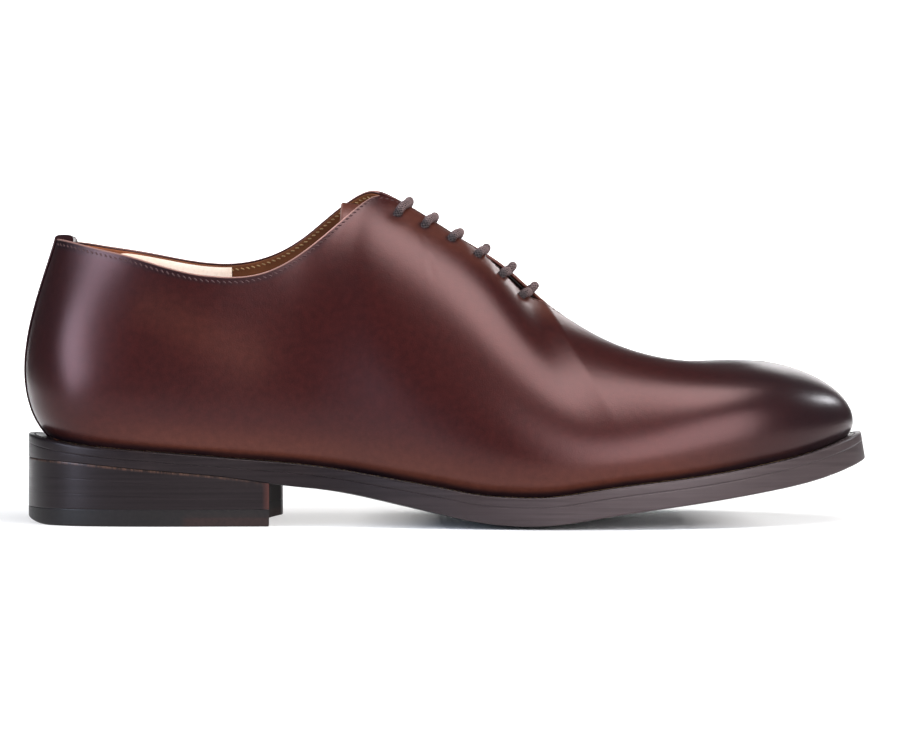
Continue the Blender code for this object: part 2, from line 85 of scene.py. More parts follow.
# One row for each section of the upper, standing square to the sole's edge.
# along and aside place the sole's edge, as shares of LENGTH and BALL_WIDTH from the middle.
# reach is how far the foot of the upper stands in from that edge, and the rest shape its side:
# belly, middle and brow are measured out from the foot. The first two are measured up from it too,
# and the brow down from the top.
SHAPE_COLUMNS = "belly_out belly_up middle_out middle_up brow_out brow_drop"
Section = namedtuple("Section", f"along aside reach {SHAPE_COLUMNS}")
HEEL_SECTION = Section(-0.496, 0, 7.6, 8, 8, 15.5, 26, 3.2, 22)
TOE_SECTION = Section(0.5, 0.043, 4.6, 4, 5, 3, 15, -12, 2.5)
LATERAL_SECTIONS = rows_of(
    Section,
    (-0.462, -0.236, 6.6, 8, 7.5, 12.5, 27, -1.2, 21),
    (-0.383, -0.323, 5.0, 6, 8, 8, 28, -0.2, 20),
    (-0.276, -0.327, 4.5, 6, 8, 7, 26, 1.6, 18),
    (-0.156, -0.327, 5.0, 6.5, 8, 8, 30, 2, 22),
    (-0.039, -0.409, 5.5, 7, 8, 9.8, 37, 0.8, 24),
    (0.091, -0.495, 5.5, 7, 8, 9.8, 20, -12.4, 1.2),
    (0.221, -0.49, 5.5, 7, 7, 6.4, 22.8, -24.8, 8),
    (0.344, -0.394, 5.2, 6, 6, 7.2, 32.3, -14.2, 0.2),
    (0.448, -0.207, 4.8, 5, 5, 4.3, 23.2, -9.7, 0.2),
)
MEDIAL_SECTIONS = rows_of(
    Section,
    (-0.462, 0.236, 6.6, 8, 7.5, 12.5, 27, -1.2, 21),
    (-0.386, 0.32, 5.0, 6, 8, 8, 28, -0.2, 20),
    (-0.282, 0.308, 4.5, 6, 8, 7, 26, 2, 18),
    (-0.162, 0.293, 5.0, 6.5, 8, 8, 30, 3.5, 24),
    (-0.039, 0.332, 5.5, 7, 8, 10.2, 38, 5, 24.5),
    (0.084, 0.438, 5.5, 6, 8, 9, 25, -2.2, 3.2),
    (0.208, 0.505, 5.5, 6, 7, 5.6, 23.5, -17, 6),
    (0.334, 0.46, 5.2, 5, 6, 5.4, 29.5, -15, 0.2),
    (0.448, 0.288, 4.8, 4, 5, 3.4, 22, -10.5, 0.2),
)
TOE_STATION = len(LATERAL_SECTIONS) + 1
LOOP_STATIONS = 2 * TOE_STATION
MIDDLE_SLANT = 0.45

# The upper's top line: round the collar, down the throat and along the ridge of the vamp to the toe.
TopRow = namedtuple("TopRow", "station along aside rise lateral_gap medial_gap medial_rise lateral_drop")
TOP_LINE = rows_of(
    TopRow,
    (0.0, -0.462, 0, 0.875, 0, 0, 0, 0),
    (0.5, -0.455, 0, 0.863, 8, 8, 0.3, 0),
    (1.0, -0.433, 0, 0.838, 14.5, 14.5, 1.6, 0),
    (2.0, -0.364, 0, 0.792, 25, 24.5, 4, 0),
    (3.0, -0.269, 0, 0.734, 28.5, 27, 7, 0),
    (3.6, -0.214, 0, 0.757, 27.5, 26, 7.5, 1.8),
    (4.2, -0.166, 0, 0.834, 24, 22.5, 6.8, 3.2),
    (4.7, -0.125, 0, 0.928, 16, 15, 5.1, 3.3),
    (5.0, -0.098, 0.5, 0.984, 9, 8.6, 2.7, 2.3),
    (5.25, -0.079, 0.5, 0.996, 4.4, 4.3, 1.1, 0.9),
    (5.5, -0.055, 0.5, 0.973, 2.5, 2.5, 0.3, 0.2),
    (6.0, 0.006, 0.5, 0.878, 1.8, 1.8, 0, 0.1),
    (6.25, 0.0377, 0.7, 0.8296, 2.6, 2.1, 0, 1),
    (6.5, 0.067, 1, 0.78, 3.8, 2.3, 0, 3.2),
    (6.75, 0.0924, 1.25, 0.7243, 3.2, 1.7, 0, 4),
    (7.0, 0.117, 1.5, 0.668, 0, 0, 0, 0),
    (7.4, 0.162, 2, 0.589, 0, 0, 0, 0),
    (8.0, 0.24, 3, 0.499, 0, 0, 0, 0),
    (8.6, 0.304, 4, 0.488, 0, 0, 0, 0),
    (9.3, 0.353, 4.3, 0.49, 0, 0, 0, 0),
    (10.0, 0.377, 4.5, 0.487, 0, 0, 0, 0),
)
THROAT_END = 7.0
THROAT_TOP = 5.25  # station of the corner where collar and throat meet
MIRRORED_ROWS = 4

# The sole seen from the side.
Profile = namedtuple("Profile", "along heel_share spring_share thickness crown")
SOLE_PROFILE = rows_of(
    Profile,
    (-0.5, 1.0, 0, 9.1, 0),
    (-0.445, 0.965, 0, 6.6, 0),
    (-0.357, 0.86, 0, 6.3, 0),
    (-0.234, 0.703, 0, 7.0, 0),
    (-0.182, 0.58, 0, 8.0, 0.6),
    (-0.13, 0.487, 0, 7.8, 1.2),
    (-0.065, 0.317, 0, 8.2, 1.5),
    (0, 0.127, 0, 9.2, 1.6),
    (0.032, 0.043, 0, 9.4, 1.6),
    (0.071, -0.008, 0, 9.7, 1.6),
    (0.097, 0, -0.015, 9.7, 1.6),
    (0.123, 0, 0.007, 9.6, 1.6),
    (0.175, 0, 0.113, 9.5, 1.6),
    (0.282, 0, 0.315, 9.1, 1.5),
    (0.36, 0, 0.478, 9.3, 1.3),
    (0.438, 0, 0.71, 9.8, 0.6),
    (0.5, 0, 0.99, 10.0, 0),
)
FLAT_MIDDLE = 0.45
EDGE_LEAN = 0.45

# The middle of the tongue's top face, from its free end down to the vamp, in millimetres.
TongueRow = namedtuple("TongueRow", "along_mm rise_mm half_width side_drop")
TONGUE_ROWS = rows_of(
    TongueRow,
    (-38, 116.5, 18, 19.5),
    (-26, 114.6, 17.5, 21.5),
    (-8, 106.0, 16.5, 14.5),
    (12, 93.2, 15.5, 7.5),
    (22, 85.2, 14.6, 5.4),
    (30, 78.2, 13.5, 3.6),
    (42, 71.4, 11, 1.2),
)
TONGUE_ROUNDING = 1.4

LACE_CROSSINGS = (-14.5, -5.3, 4.0, 13.6, 23.0, 31.0)

# How many cuts a station gets, from the heel to the toe. It changes evenly from row to row.
Crowding = namedtuple("Crowding", "station cuts")
CROWDING = rows_of(
    Crowding, (0, 30), (1.5, 20), (3.5, 20), (4.6, 40), (5.6, 38), (7.0, 36), (8.5, 26), (10, 30)
)
CROWDING_SAMPLES = 4001
FINE, COARSE = 1.0, 0.5  # shares of those cuts
FINE_RISE = 66
COARSE_RISE = 36
EDGE_ROWS = (0.989, 0.994)  # two rows close to the top edge, as shares of the rise

# Layers of the upper's wall, measured in from its outer face
LEATHER_IN = 1.15
LINING_OUT = 1.25
LINING_IN = 2.0
LINING_DROP = 0.9  # the lining ends this far below the cut edge of the leather
TAB_DROP = 2.4  # the collar is cut this much lower under the tab of the back strip
TAB_DROP_END = 1.1  # station where it has its full height again

# Lines in the side view. A crease is a soft trough with low ridges beside it, and its strength is a depth.
# Along a streak the leather gets a painted highlight, lighter and warmer, and its strength is how warm the
# leather gets.
SideLine = namedtuple("SideLine", "side start_x start_z end_x end_z strength width")
CREASES = (
    SideLine(LATERAL, -6.6, 94.8, -5.0, 89.5, 0.16, 1.0),
    SideLine(LATERAL, -9.0, 103.5, -7.6, 100.5, 0.10, 0.9),
)
HIGHLIGHT_STREAKS = (
    SideLine(LATERAL, -104, 77, -70, 60, 0.2, 8.0),
    SideLine(MEDIAL, -95, 78, -60, 60, 0.25, 7.0),
)
RIDGE_SHARE = 0.45
RIDGE_OFFSET = 1.7  # in widths of the trough
PUCKER_DEPTH = 0.55
PUCKER_WIDTH = 3.0
EYELET_SHADE = 2.3  # millimetres: how far the leather is darkened round an eyelet, as painted shade of its hole, which isn't cut
RIM_ROUNDING = 0.4  # how far the cut edge bulges, from 0 for flat to 1 for half round
GAPE_START = 6.3  # station from where the facings stand apart, so that the near one's cut edge shows
RISE_NUDGE = 0.02  # share of the rise over which the slope under the top edge is measured
EDGE_TINT = (1, 0.86, 0.88)  # of the highlights on waxed edges

# The upper's face, with a station, rise and side for each point
Sheet = namedtuple("Sheet", "points quads station rise side")


def spline(knots, values):
    """A natural cubic spline through the rows of values, as a function of the knot."""
    knots = np.asarray(knots, float)
    values = np.asarray(values, float)
    steps = np.diff(knots)
    slopes = np.diff(values, axis=0) / steps[:, None]
    system = np.eye(len(knots))
    bends = np.zeros_like(values)
    for i in range(1, len(knots) - 1):
        system[i, i - 1 : i + 2] = steps[i - 1], 2 * (steps[i - 1] + steps[i]), steps[i]
        bends[i] = 6 * (slopes[i] - slopes[i - 1])
    bends = np.linalg.solve(system, bends)

    def at(where):
        where = np.asarray(where, float)
        i = np.clip(np.searchsorted(knots, where, side="right") - 1, 0, len(steps) - 1)
        step = steps[i][..., None]
        before = (knots[i + 1] - where)[..., None] / step
        after = 1 - before
        bow = (before**3 - before) * bends[i] + (after**3 - after) * bends[i + 1]
        return before * values[i] + after * values[i + 1] + bow * step**2 / 6

    return at


def section_loop():
    """The sections as one closed loop: heel, lateral side, toe, medial side."""
    rows = (HEEL_SECTION, *LATERAL_SECTIONS, TOE_SECTION, *MEDIAL_SECTIONS[::-1])
    loop = np.array(rows, float)
    loop[:, 0] *= LENGTH
    loop[:, 1] *= BALL_WIDTH
    overlap = len(loop) // 2
    knots = np.arange(-overlap, len(loop) + overlap)
    return spline(knots, loop[knots % len(loop)])


def top_splines():
    """The top line's middle, and how far it opens to each side before the throat closes."""
    rows = np.array(TOP_LINE, float)
    rows[:, 1] *= LENGTH
    rows[:, 3] *= INSTEP_HEIGHT
    before_heel = rows[MIRRORED_ROWS:0:-1] * (-1, 1, 1, 1, -1, -1, 1, 1)
    past_toe = rows[-2 : -2 - MIRRORED_ROWS : -1].copy()
    past_toe[:, 0] = 2 * TOE_STATION - past_toe[:, 0]
    whole = np.concatenate([before_heel, rows, past_toe])
    opened = whole[whole[:, 0] <= THROAT_END]
    return spline(whole[:, 0], whole[:, 1:4]), spline(opened[:, 0], opened[:, 4:])


def profile_spline():
    rows = np.array(SOLE_PROFILE, float)
    lift = rows[:, 1] * HEEL_HEIGHT + rows[:, 2] * TOE_SPRING
    return spline(rows[:, 0] * LENGTH, np.column_stack([lift, rows[:, 3:5]]))


SECTIONS = section_loop()
TOP_MIDDLE, TOP_OPENING = top_splines()
PROFILE = profile_spline()


def stations(fineness):
    """The stations from heel to toe, closer together where the shape turns."""
    places = np.linspace(0, TOE_STATION, CROWDING_SAMPLES)
    rows = np.array(CROWDING, float)
    density = np.interp(places, rows[:, 0], rows[:, 1])
    count = np.cumsum(density) - density[0]
    steps = int(fineness * density.mean() * TOE_STATION)
    return np.interp(np.linspace(0, count[-1], steps + 1), count, places)


def loop_place(station, side):
    return station if side == LATERAL else LOOP_STATIONS - station


def unit(vectors):
    """Vectors made one long."""
    return vectors / np.maximum(np.linalg.norm(vectors, axis=-1, keepdims=True), 1e-9)


def outward(place):
    """The direction out of the sole's edge, in plan."""
    nudge = 1e-3
    along = unit(SECTIONS(place + nudge)[..., :2] - SECTIONS(place - nudge)[..., :2])
    return np.stack([along[..., 1], -along[..., 0]], -1)


def sole_outline(station, side, inset=0.0):
    """The sole's edge in plan, or a line inside it."""
    place = loop_place(station, side)
    return SECTIONS(place)[..., :2] - outward(place) * np.asarray(inset)[..., None]


def upper_foot(station, side, inset=0.0):
    """The line in plan where the upper stands on the welt, or a line inside that."""
    reach = SECTIONS(loop_place(station, side))[..., 2]
    return sole_outline(station, side, reach + inset)


def share_across(station, plan):
    """How far out a point lies, from 0 in the middle of the sole to 1 on its edge."""
    lateral = sole_outline(station, LATERAL)
    medial = sole_outline(station, MEDIAL)
    half = np.linalg.norm(medial - lateral, axis=-1) / 2
    out = np.linalg.norm(plan - (lateral + medial) / 2, axis=-1)
    return np.where(half > 1, np.minimum(out / np.maximum(half, 1), 1), 1)


def smooth_step(share):
    share = np.clip(share, 0, 1)
    return share * share * (3 - 2 * share)


def sole_height(x, across, level):
    """The height of a layer of the sole, level millimetres above its underside."""
    lift, _, crown = np.moveaxis(PROFILE(x), -1, 0)
    return lift + crown * smooth_step((np.abs(across) - FLAT_MIDDLE) / (1 - FLAT_MIDDLE)) + level


def sole_thickness(x):
    return PROFILE(x)[..., 1]


def leaned(plan, level):
    """Moves a point of the sole's edge with its height, so that the edge stands square to the sprung sole."""
    nudge = 1.0
    slope = (PROFILE(plan[..., 0] + nudge)[..., 0] - PROFILE(plan[..., 0] - nudge)[..., 0]) / (2 * nudge)
    moved = plan.copy()
    moved[..., 0] -= EDGE_LEAN * np.maximum(slope, 0) * level
    return moved


def raised(plan, height):
    return np.concatenate([plan, np.asarray(height)[..., None]], -1)


def on_sole(plan, across, above):
    """Places and heights of points above the sole's top face, leaning with its edge."""
    level = sole_thickness(plan[..., 0]) + above
    return leaned(plan, level), sole_height(plan[..., 0], across, level)


def top_point(station, side):
    """A point of the upper's top line."""
    point = TOP_MIDDLE(station)
    opening = np.maximum(TOP_OPENING(np.minimum(station, THROAT_END)), 0)
    opening[station >= THROAT_END] = 0
    opening[station <= 0] = 0
    if side == LATERAL:
        point[..., 1] -= opening[..., 0]
        point[..., 2] -= opening[..., 3]
    else:
        point[..., 1] += opening[..., 1]
        point[..., 2] += opening[..., 2]
    return point


def upper_surface(station, rise, side):
    """Points of the upper's outer face, a row for each rise (0 at its foot, 1 at the top line)."""
    place = loop_place(station, side)
    shape = np.moveaxis(SECTIONS(place)[..., 3:], -1, 0)
    belly_out, belly_up, middle_out, middle_up, brow_out, brow_drop = shape
    out = outward(place)
    foot = upper_foot(station, side)
    foot, seat = on_sole(foot, share_across(station, foot), GAP)
    top = top_point(station, side)
    edge_way = np.stack([-out[..., 1], out[..., 0]], -1)
    slant = np.sum((top[..., :2] - foot) * edge_way, -1, keepdims=True) * edge_way
    handles = (
        raised(foot, seat),
        raised(foot + out * belly_out[..., None], seat + belly_up),
        raised(foot + out * middle_out[..., None] + slant * MIDDLE_SLANT, seat + middle_up),
        raised(foot + out * brow_out[..., None] + slant, top[..., 2] - brow_drop),
        top,
    )
    rise = np.broadcast_to(np.asarray(rise, float), (len(rise), len(station)))[..., None]
    fall = 1 - rise
    weights = (fall**4, 4 * rise * fall**3, 6 * rise**2 * fall**2, 4 * rise**3 * fall, rise**4)
    return sum(weight * handle[None] for weight, handle in zip(weights, handles))


def grid_quads(rows, columns, first=0, turned=False):
    """The quads of a grid of points stored row by row."""
    corner = first + np.arange(rows - 1)[:, None] * columns + np.arange(columns - 1)
    quads = np.stack([corner, corner + 1, corner + columns + 1, corner + columns], -1).reshape(-1, 4)
    return quads[:, ::-1] if turned else quads


def tube_quads(rings, columns, first=0, capped=False):
    """The quads of a tube, whose rings of points are stored one after another. capped closes its two ends."""
    index = first + np.arange(rings)[:, None] * columns + np.arange(columns)
    after = np.roll(index, -1, axis=1)
    quads = np.stack([index[:-1], after[:-1], after[1:], index[1:]], -1).reshape(-1, 4)
    if not capped:
        return quads
    fan = np.array([(0, i, i + 1, i + 1) for i in range(1, columns - 1)])
    return np.concatenate([quads, index[0][fan][:, ::-1], index[-1][fan]])


def merged(points, quads):
    """Points that coincide made one. The third result gives the first place of each point kept."""
    cells = np.round(points / MERGE).astype(np.int64)
    _, first, index = np.unique(cells, axis=0, return_index=True, return_inverse=True)
    return points[first], index.reshape(-1)[quads], first


def arc_lengths(line):
    """How far along a line each of its points lies."""
    return np.concatenate([[0], np.cumsum(np.linalg.norm(np.diff(line, axis=0), axis=1))])


def sampled(rows, along, where):
    """Rows that belong to places along a line, read between them."""
    return np.column_stack([np.interp(where, along, column) for column in rows.T])


def point_normals(points, quads):
    a, b, c, d = (points[quads[:, i]] for i in range(4))
    face = np.cross(c - a, d - b)
    normals = np.zeros_like(points)
    for i in range(4):
        np.add.at(normals, quads[:, i], face)
    return unit(normals)


def free_edges(quads):
    """The directed edges that only one face has."""
    edges = np.stack([quads, np.roll(quads, -1, axis=1)], -1).reshape(-1, 2)
    edges = edges[edges[:, 0] != edges[:, 1]]
    _, index, counts = np.unique(np.sort(edges, axis=1), axis=0, return_inverse=True, return_counts=True)
    return edges[counts[index.reshape(-1)] == 1]


def shell(points, quads, outside, inside, rounding=1, rim_steps=4):
    """A closed wall from outside to inside millimetres under a sheet, whose free edges bulge by rounding.

    Its outer face comes first, then its inner face and its rim. The third result gives each point's place in
    the sheet.
    """
    count = len(points)
    normals = point_normals(points, quads)
    edges = free_edges(quads)
    out = np.cross(points[edges[:, 1]] - points[edges[:, 0]], normals[edges[:, 0]] + normals[edges[:, 1]])
    bulge = np.zeros_like(points)
    for end in range(2):
        np.add.at(bulge, edges[:, end], out)
    bulge = unit(bulge) * np.broadcast_to(rounding, count)[:, None]
    half = (inside - outside) / 2
    middle = points - normals * (outside + half)
    rim = np.unique(edges)
    place = np.zeros(count, int)
    place[rim] = np.arange(len(rim))
    layers = [points - normals * outside, points - normals * inside]
    rows = [edges]
    for step in range(1, rim_steps):
        angle = math.pi * step / rim_steps
        lift = normals * math.cos(angle) + bulge * math.sin(angle)
        layers.append((middle + lift * half)[rim])
        rows.append(place[edges] + 2 * count + (step - 1) * len(rim))
    rows.append(edges + count)
    faces = [quads, quads[:, ::-1] + count]
    for upper, lower in zip(rows, rows[1:]):
        faces.append(np.stack([upper[:, 1], upper[:, 0], lower[:, 0], lower[:, 1]], -1))
    source = np.concatenate([np.arange(count)] * 2 + [rim] * (rim_steps - 1))
    return np.concatenate(layers), np.concatenate(faces), source


def placed(name, data):
    """A new object in the scene."""
    made = bpy.data.objects.new(name, data)
    bpy.context.scene.collection.objects.link(made)
    return made


def add_piece(name, points, quads, look, replaced=(), fields=None):
    """One object that rides on the shoe, from points in millimetres. fields are numbers for each point."""
    faces = []
    for quad in quads.tolist():
        corners = [a for a, b in zip(quad, quad[1:] + quad[:1]) if a != b]
        if len(set(corners)) == len(corners) and len(corners) > 2:
            faces.append(corners)
    mesh = bpy.data.meshes.new(name)
    mesh.from_pydata((points * MM).tolist(), [], faces)
    for field, values in (fields or {}).items():
        layer = mesh.attributes.new(field, "FLOAT", "POINT")
        layer.data.foreach_set("value", np.asarray(values, np.float32))
    mesh.materials.append(look)
    mesh.shade_smooth()
    mesh.set_sharp_from_angle(angle=math.radians(SHARP_ANGLE))
    made = placed(name, mesh)
    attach(made, "root")
    if replaced:
        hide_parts(*replaced)


def side_distance(points, line):
    """Distance of points from a line of the side view, in widths of that line."""
    start = np.array([line.start_x, line.start_z])
    way = np.array([line.end_x, line.end_z]) - start
    flat = points[:, (0, 2)] - start
    share = np.clip(flat @ way / (way @ way), 0, 1)
    return np.linalg.norm(flat - share[:, None] * way, axis=1) / line.width


def eyelet_distances(points, eyelets):
    """Distances of points from the eyelets, a row for each eyelet."""
    return np.array([np.linalg.norm(points - eyelet, axis=1) for eyelet in eyelets])


def relief(points, side, eyelets):
    """How far the leather stands out of its smooth form, in millimetres."""
    pucker = np.exp(-((eyelet_distances(points, eyelets) / PUCKER_WIDTH) ** 2))
    height = -PUCKER_DEPTH * pucker.sum(0)
    for crease in CREASES:
        ratio = side_distance(points, crease)
        ridge = RIDGE_SHARE * np.exp(-((ratio - RIDGE_OFFSET) ** 2))
        height += crease.strength * (ridge - np.exp(-(ratio**2))) * (side == crease.side)
    return height


def tab_drop(station):
    """How much lower the collar is cut under the tab."""
    return TAB_DROP * (1 - smooth_step(station / TAB_DROP_END))


def top_slope(cuts, side):
    """Millimetres of the upper's face for a unit of rise, close under its top edge."""
    top, below = upper_surface(cuts, np.array([[1], [1 - RISE_NUDGE]]), side)
    return np.linalg.norm(top - below, axis=-1) / RISE_NUDGE


def upper_sheet(fineness, rise_steps, drop=0.0):
    """The upper's outer face as one sheet. drop lowers its top edge."""
    cuts = stations(fineness)
    share = np.concatenate([np.linspace(0, 1, rise_steps + 1)[:-1], EDGE_ROWS, [1]])
    halves = []
    for side in SIDES:
        shortened = np.where(cuts < THROAT_END, (drop + tab_drop(cuts)) / top_slope(cuts, side), 0)
        halves.append(upper_surface(cuts, share[:, None] * (1 - shortened), side))
    for end in (0, -1):
        halves[1][:, end] = halves[0][:, end]
    count = len(share) * len(cuts)
    points = np.concatenate([half.reshape(-1, 3) for half in halves])
    quads = [grid_quads(len(share), len(cuts), i * count, turned=i == 1) for i in range(2)]
    points, quads, first = merged(points, np.concatenate(quads))
    station = np.tile(cuts, 2 * len(share))[first]
    rise = np.tile(np.repeat(share, len(cuts)), 2)[first]
    return Sheet(points, quads, station, rise, np.repeat(SIDES, count)[first])


def lace_plane(crossing):
    """The middle of the throat at a crossing, and the direction out of the ridge there."""
    cuts = np.linspace(TOE_STATION / 2, TOE_STATION, SEARCH_STEPS)
    station = np.interp(crossing, TOP_MIDDLE(cuts)[:, 0], cuts)
    nudge = 0.05
    before, middle, after = TOP_MIDDLE(np.array([station - nudge, station, station + nudge]))
    up = Vector(after - before).normalized().cross(Vector((0, 1, 0))).normalized()
    return Vector(middle), up if up.z > 0 else -up


def lace_points(crossing, surface, shares):
    """Points of the upper's face under a lace bar, each with its normal. A point over the gap has none."""
    middle, up = lace_plane(crossing)
    start_height = 25
    found = []
    for share in shares:
        back = LACE_HOOK * smooth_step((abs(share) - 0.4) / 0.6)
        level = middle + Vector((-back, share * LACE_REACH, 0))
        hit, normal, _, _ = surface.ray_cast(level + up * start_height, -up)
        found.append((hit, normal) if hit else (level, None))
    return found


SOCKETS = {
    "color": "Base Color",
    "roughness": "Roughness",
    "specular": "Specular IOR Level",
    "tint": "Specular Tint",
    "glow": "Emission Strength",
    "glow_color": "Emission Color",
    "normal": "Normal",
}


class Look:
    """A material with short ways to add nodes. Values are numbers, colours or the outputs of other nodes."""

    def __init__(self, name):
        self.material = bpy.data.materials.new(name)
        self.material.use_nodes = True
        self.tree = self.material.node_tree

    def feed(self, socket, value):
        if isinstance(value, bpy.types.NodeSocket):
            self.tree.links.new(value, socket)
        else:
            socket.default_value = (*value, 1) if socket.type == "RGBA" else value

    def node(self, kind, output, inputs, **settings):
        """Adds a node and returns one of its outputs."""
        made = self.tree.nodes.new(f"ShaderNode{kind}")
        for key, value in settings.items():
            setattr(made, key, value)
        for socket, value in inputs.items():
            self.feed(made.inputs[socket], value)
        return made.outputs[output]

    def place(self):
        return self.node("TexCoord", "Object", {})

    def place_along(self, axis):
        return self.node("SeparateXYZ", axis, {"Vector": self.place()})

    def field(self, name):
        """A number that the mesh has for each point."""
        return self.node("Attribute", "Fac", {}, attribute_name=name)

    def noise(self, scale, detail, roughness, stretch=None):
        """Noise over the object's own place, in cycles per metre."""
        place = self.place()
        if stretch:
            place = self.node("Mapping", "Vector", {"Vector": place, "Scale": stretch})
        inputs = {"Vector": place, "Scale": scale, "Detail": detail, "Roughness": roughness}
        return self.node("TexNoise", "Fac", inputs)

    def cells(self, scale):
        return self.node("TexVoronoi", "Distance", {"Vector": self.place(), "Scale": scale})

    def maths(self, operation, first, second):
        return self.node("Math", 0, {0: first, 1: second}, operation=operation)

    def ranged(self, value, low, high, to_low=0.0, to_high=1.0):
        inputs = {"Value": value, "From Min": low, "From Max": high, "To Min": to_low, "To Max": to_high}
        return self.node("MapRange", "Result", inputs)

    def mixed(self, factor, first, second):
        return self.node("Mix", 2, {0: factor, 6: first, 7: second}, data_type="RGBA")

    def ramp(self, factor, *stops):
        """A colour between two stops of (position, colour)."""
        made = self.tree.nodes.new("ShaderNodeValToRGB")
        for element, (position, color) in zip(made.color_ramp.elements, stops):
            element.position = position
            element.color = (*color, 1)
        self.feed(made.inputs["Fac"], factor)
        return made.outputs["Color"]

    def finished(self, *bumps, **sockets):
        """The material, with its sockets set and bumps of (height, strength, distance in metres) on it."""
        for height, strength, distance in bumps:
            inputs = {"Height": height, "Strength": strength, "Distance": distance}
            if "normal" in sockets:
                inputs["Normal"] = sockets["normal"]
            sockets["normal"] = self.node("Bump", "Normal", inputs)
        for name, value in sockets.items():
            self.feed(self.tree.nodes["Principled BSDF"].inputs[SOCKETS[name]], value)
        return self.material


def leather_look():
    """Polished calf: chestnut, warmer along welt and lacing, burnished nearly black at toe and heel. Its
    warmer parts hold painted highlight streaks and a painted floor reflection low on the sides, and its
    darkening holds painted shade in the welt crease, along the collar's stitch row and round the eyelets.
    """
    look = Look("burnished_calf")
    burnish_and_shade = look.field("burnish_and_shade")
    mottle = look.noise(420, 4, 0.55)
    chestnut = look.ramp(mottle, (0.3, (0.018, 0.0026, 0.0025)), (0.7, (0.029, 0.0045, 0.0040)))
    warm = look.ramp(mottle, (0.3, (0.084, 0.0250, 0.0155)), (0.7, (0.105, 0.0330, 0.0200)))
    # warmer colour: partly the polish's patina, partly painted highlight streaks and a painted floor
    # reflection low on the sides
    base = look.mixed(look.field("warmth_and_sheen"), chestnut, warm)
    cloud = look.ranged(look.noise(45, 3, 0.5), 0.25, 0.75, -0.15, 0.15)
    # darker colour: burnish, and painted shade in the welt crease, along the collar's stitch row and round
    # the eyelets
    darkness = look.ranged(look.maths("ADD", burnish_and_shade, cloud), 0, 1)
    base = look.mixed(darkness, base, (0.0100, 0.0050, 0.0064))
    return look.finished(
        (mottle, 0.05, 0.0004),
        (look.noise(1700, 3, 0.6), 0.1, 0.0002),
        (look.cells(2600), 0.09, 0.00015),
        color=look.mixed(look.field("cut_edge"), base, (0.30, 0.165, 0.135)),
        roughness=look.ranged(burnish_and_shade, 0, 1, 0.3, 0.278),
        specular=0.46,
        tint=(1, 0.57, 0.56),
    )


def edge_look():
    """Stained and waxed leather edges with the faint lines of their layers."""
    look = Look("waxed_edge")
    layers = look.noise(260, 4, 0.6, stretch=(0.12, 0.12, 4.0))
    dark = look.ramp(layers, (0.3, (0.0045, 0.0029, 0.0034)), (0.72, (0.0100, 0.0066, 0.0072)))
    worn = look.ramp(layers, (0.3, (0.0350, 0.0260, 0.0270)), (0.72, (0.0570, 0.0430, 0.0440)))
    color = look.mixed(look.ranged(look.place_along("X"), -0.03, 0.04), dark, worn)
    blotch = look.ranged(look.noise(60, 3, 0.5), 0.5, 0.8, 0, 0.35)
    return look.finished(
        (layers, 0.04, 0.0004),
        (look.noise(1200, 3, 0.6, stretch=(0.4, 0.4, 2.0)), 0.04, 0.0002),
        color=look.mixed(blotch, color, (0.026, 0.016, 0.015)),
        roughness=look.ranged(layers, 0.3, 0.7, 0.33, 0.4),
        specular=0.27,
        tint=EDGE_TINT,
    )


def lift_look():
    """The heel's stained lifts: nearly black and finely lined, with a brown seam on top and a worn front."""
    look = Look("heel_lifts")
    layers = look.noise(300, 3, 0.6, stretch=(0.05, 0.05, 4.0))
    ticks = look.noise(1400, 2, 0.5, stretch=(1, 1, 0.05))
    color = look.ramp(layers, (0.3, (0.0055, 0.0040, 0.0045)), (0.72, (0.0110, 0.0078, 0.0084)))
    brown = look.ramp(ticks, (0.42, (0.016, 0.0105, 0.0095)), (0.6, (0.070, 0.037, 0.026)))
    color = look.mixed(look.field("seam"), color, brown)
    color = look.mixed(look.field("worn"), color, (0.055, 0.019, 0.015))
    gloss = look.ranged(layers, 0.3, 0.7, 0.28, 0.35)
    return look.finished(
        (layers, 0.05, 0.0004),
        (look.noise(1200, 3, 0.6), 0.03, 0.0002),
        color=look.mixed(look.field("breast"), color, (0.006, 0.004, 0.004)),
        roughness=look.maths("MAXIMUM", gloss, look.field("breast")),
        specular=0.27,
        tint=EDGE_TINT,
    )


def rubber_look():
    """Dark rubber, with a brown leather part set in at the front."""
    look = Look("top_piece_rubber")
    speck = look.noise(900, 4, 0.7)
    color = look.ramp(speck, (0.3, (0.0065, 0.0050, 0.0052)), (0.75, (0.0120, 0.0088, 0.0085)))
    brown = look.ramp(speck, (0.3, (0.013, 0.0062, 0.0058)), (0.75, (0.025, 0.0115, 0.0100)))
    gloss = look.ranged(speck, 0.3, 0.7, 0.38, 0.5)
    return look.finished(
        (speck, 0.08, 0.0003),
        color=look.mixed(look.field("leather_part"), color, brown),
        roughness=look.maths("MAXIMUM", gloss, look.field("breast")),
        specular=0.25,
    )


def lining_look(name, dark, light):
    """Lining leather. Its fields, where a piece has them, make it tan at the back, and dark at the throat as
    painted shade.
    """
    look = Look(name)
    grain = look.noise(900, 4, 0.6)
    color = look.ramp(look.noise(60, 4, 0.55), (0.3, dark), (0.72, light))
    color = look.mixed(look.ranged(grain, 0.45, 0.75, 0, 0.25), color, dimmed(dark))
    color = look.mixed(look.field("tan"), color, (0.21, 0.062, 0.022))
    return look.finished(
        (grain, 0.12, 0.0003),
        (look.cells(1700), 0.1, 0.0002),
        color=look.mixed(look.field("shaded"), color, (0.012, 0.007, 0.006)),
        roughness=0.62,
        specular=0.2,
    )


def dimmed(color):
    return tuple(0.6 * channel for channel in color)


def thread_look(name, color):
    look = Look(name)
    twist = look.noise(2600, 2, 0.5)
    shade = look.ramp(twist, (0.3, dimmed(color)), (0.7, color))
    return look.finished((twist, 0.3, 0.0001), color=shade, roughness=0.75, specular=0.2)


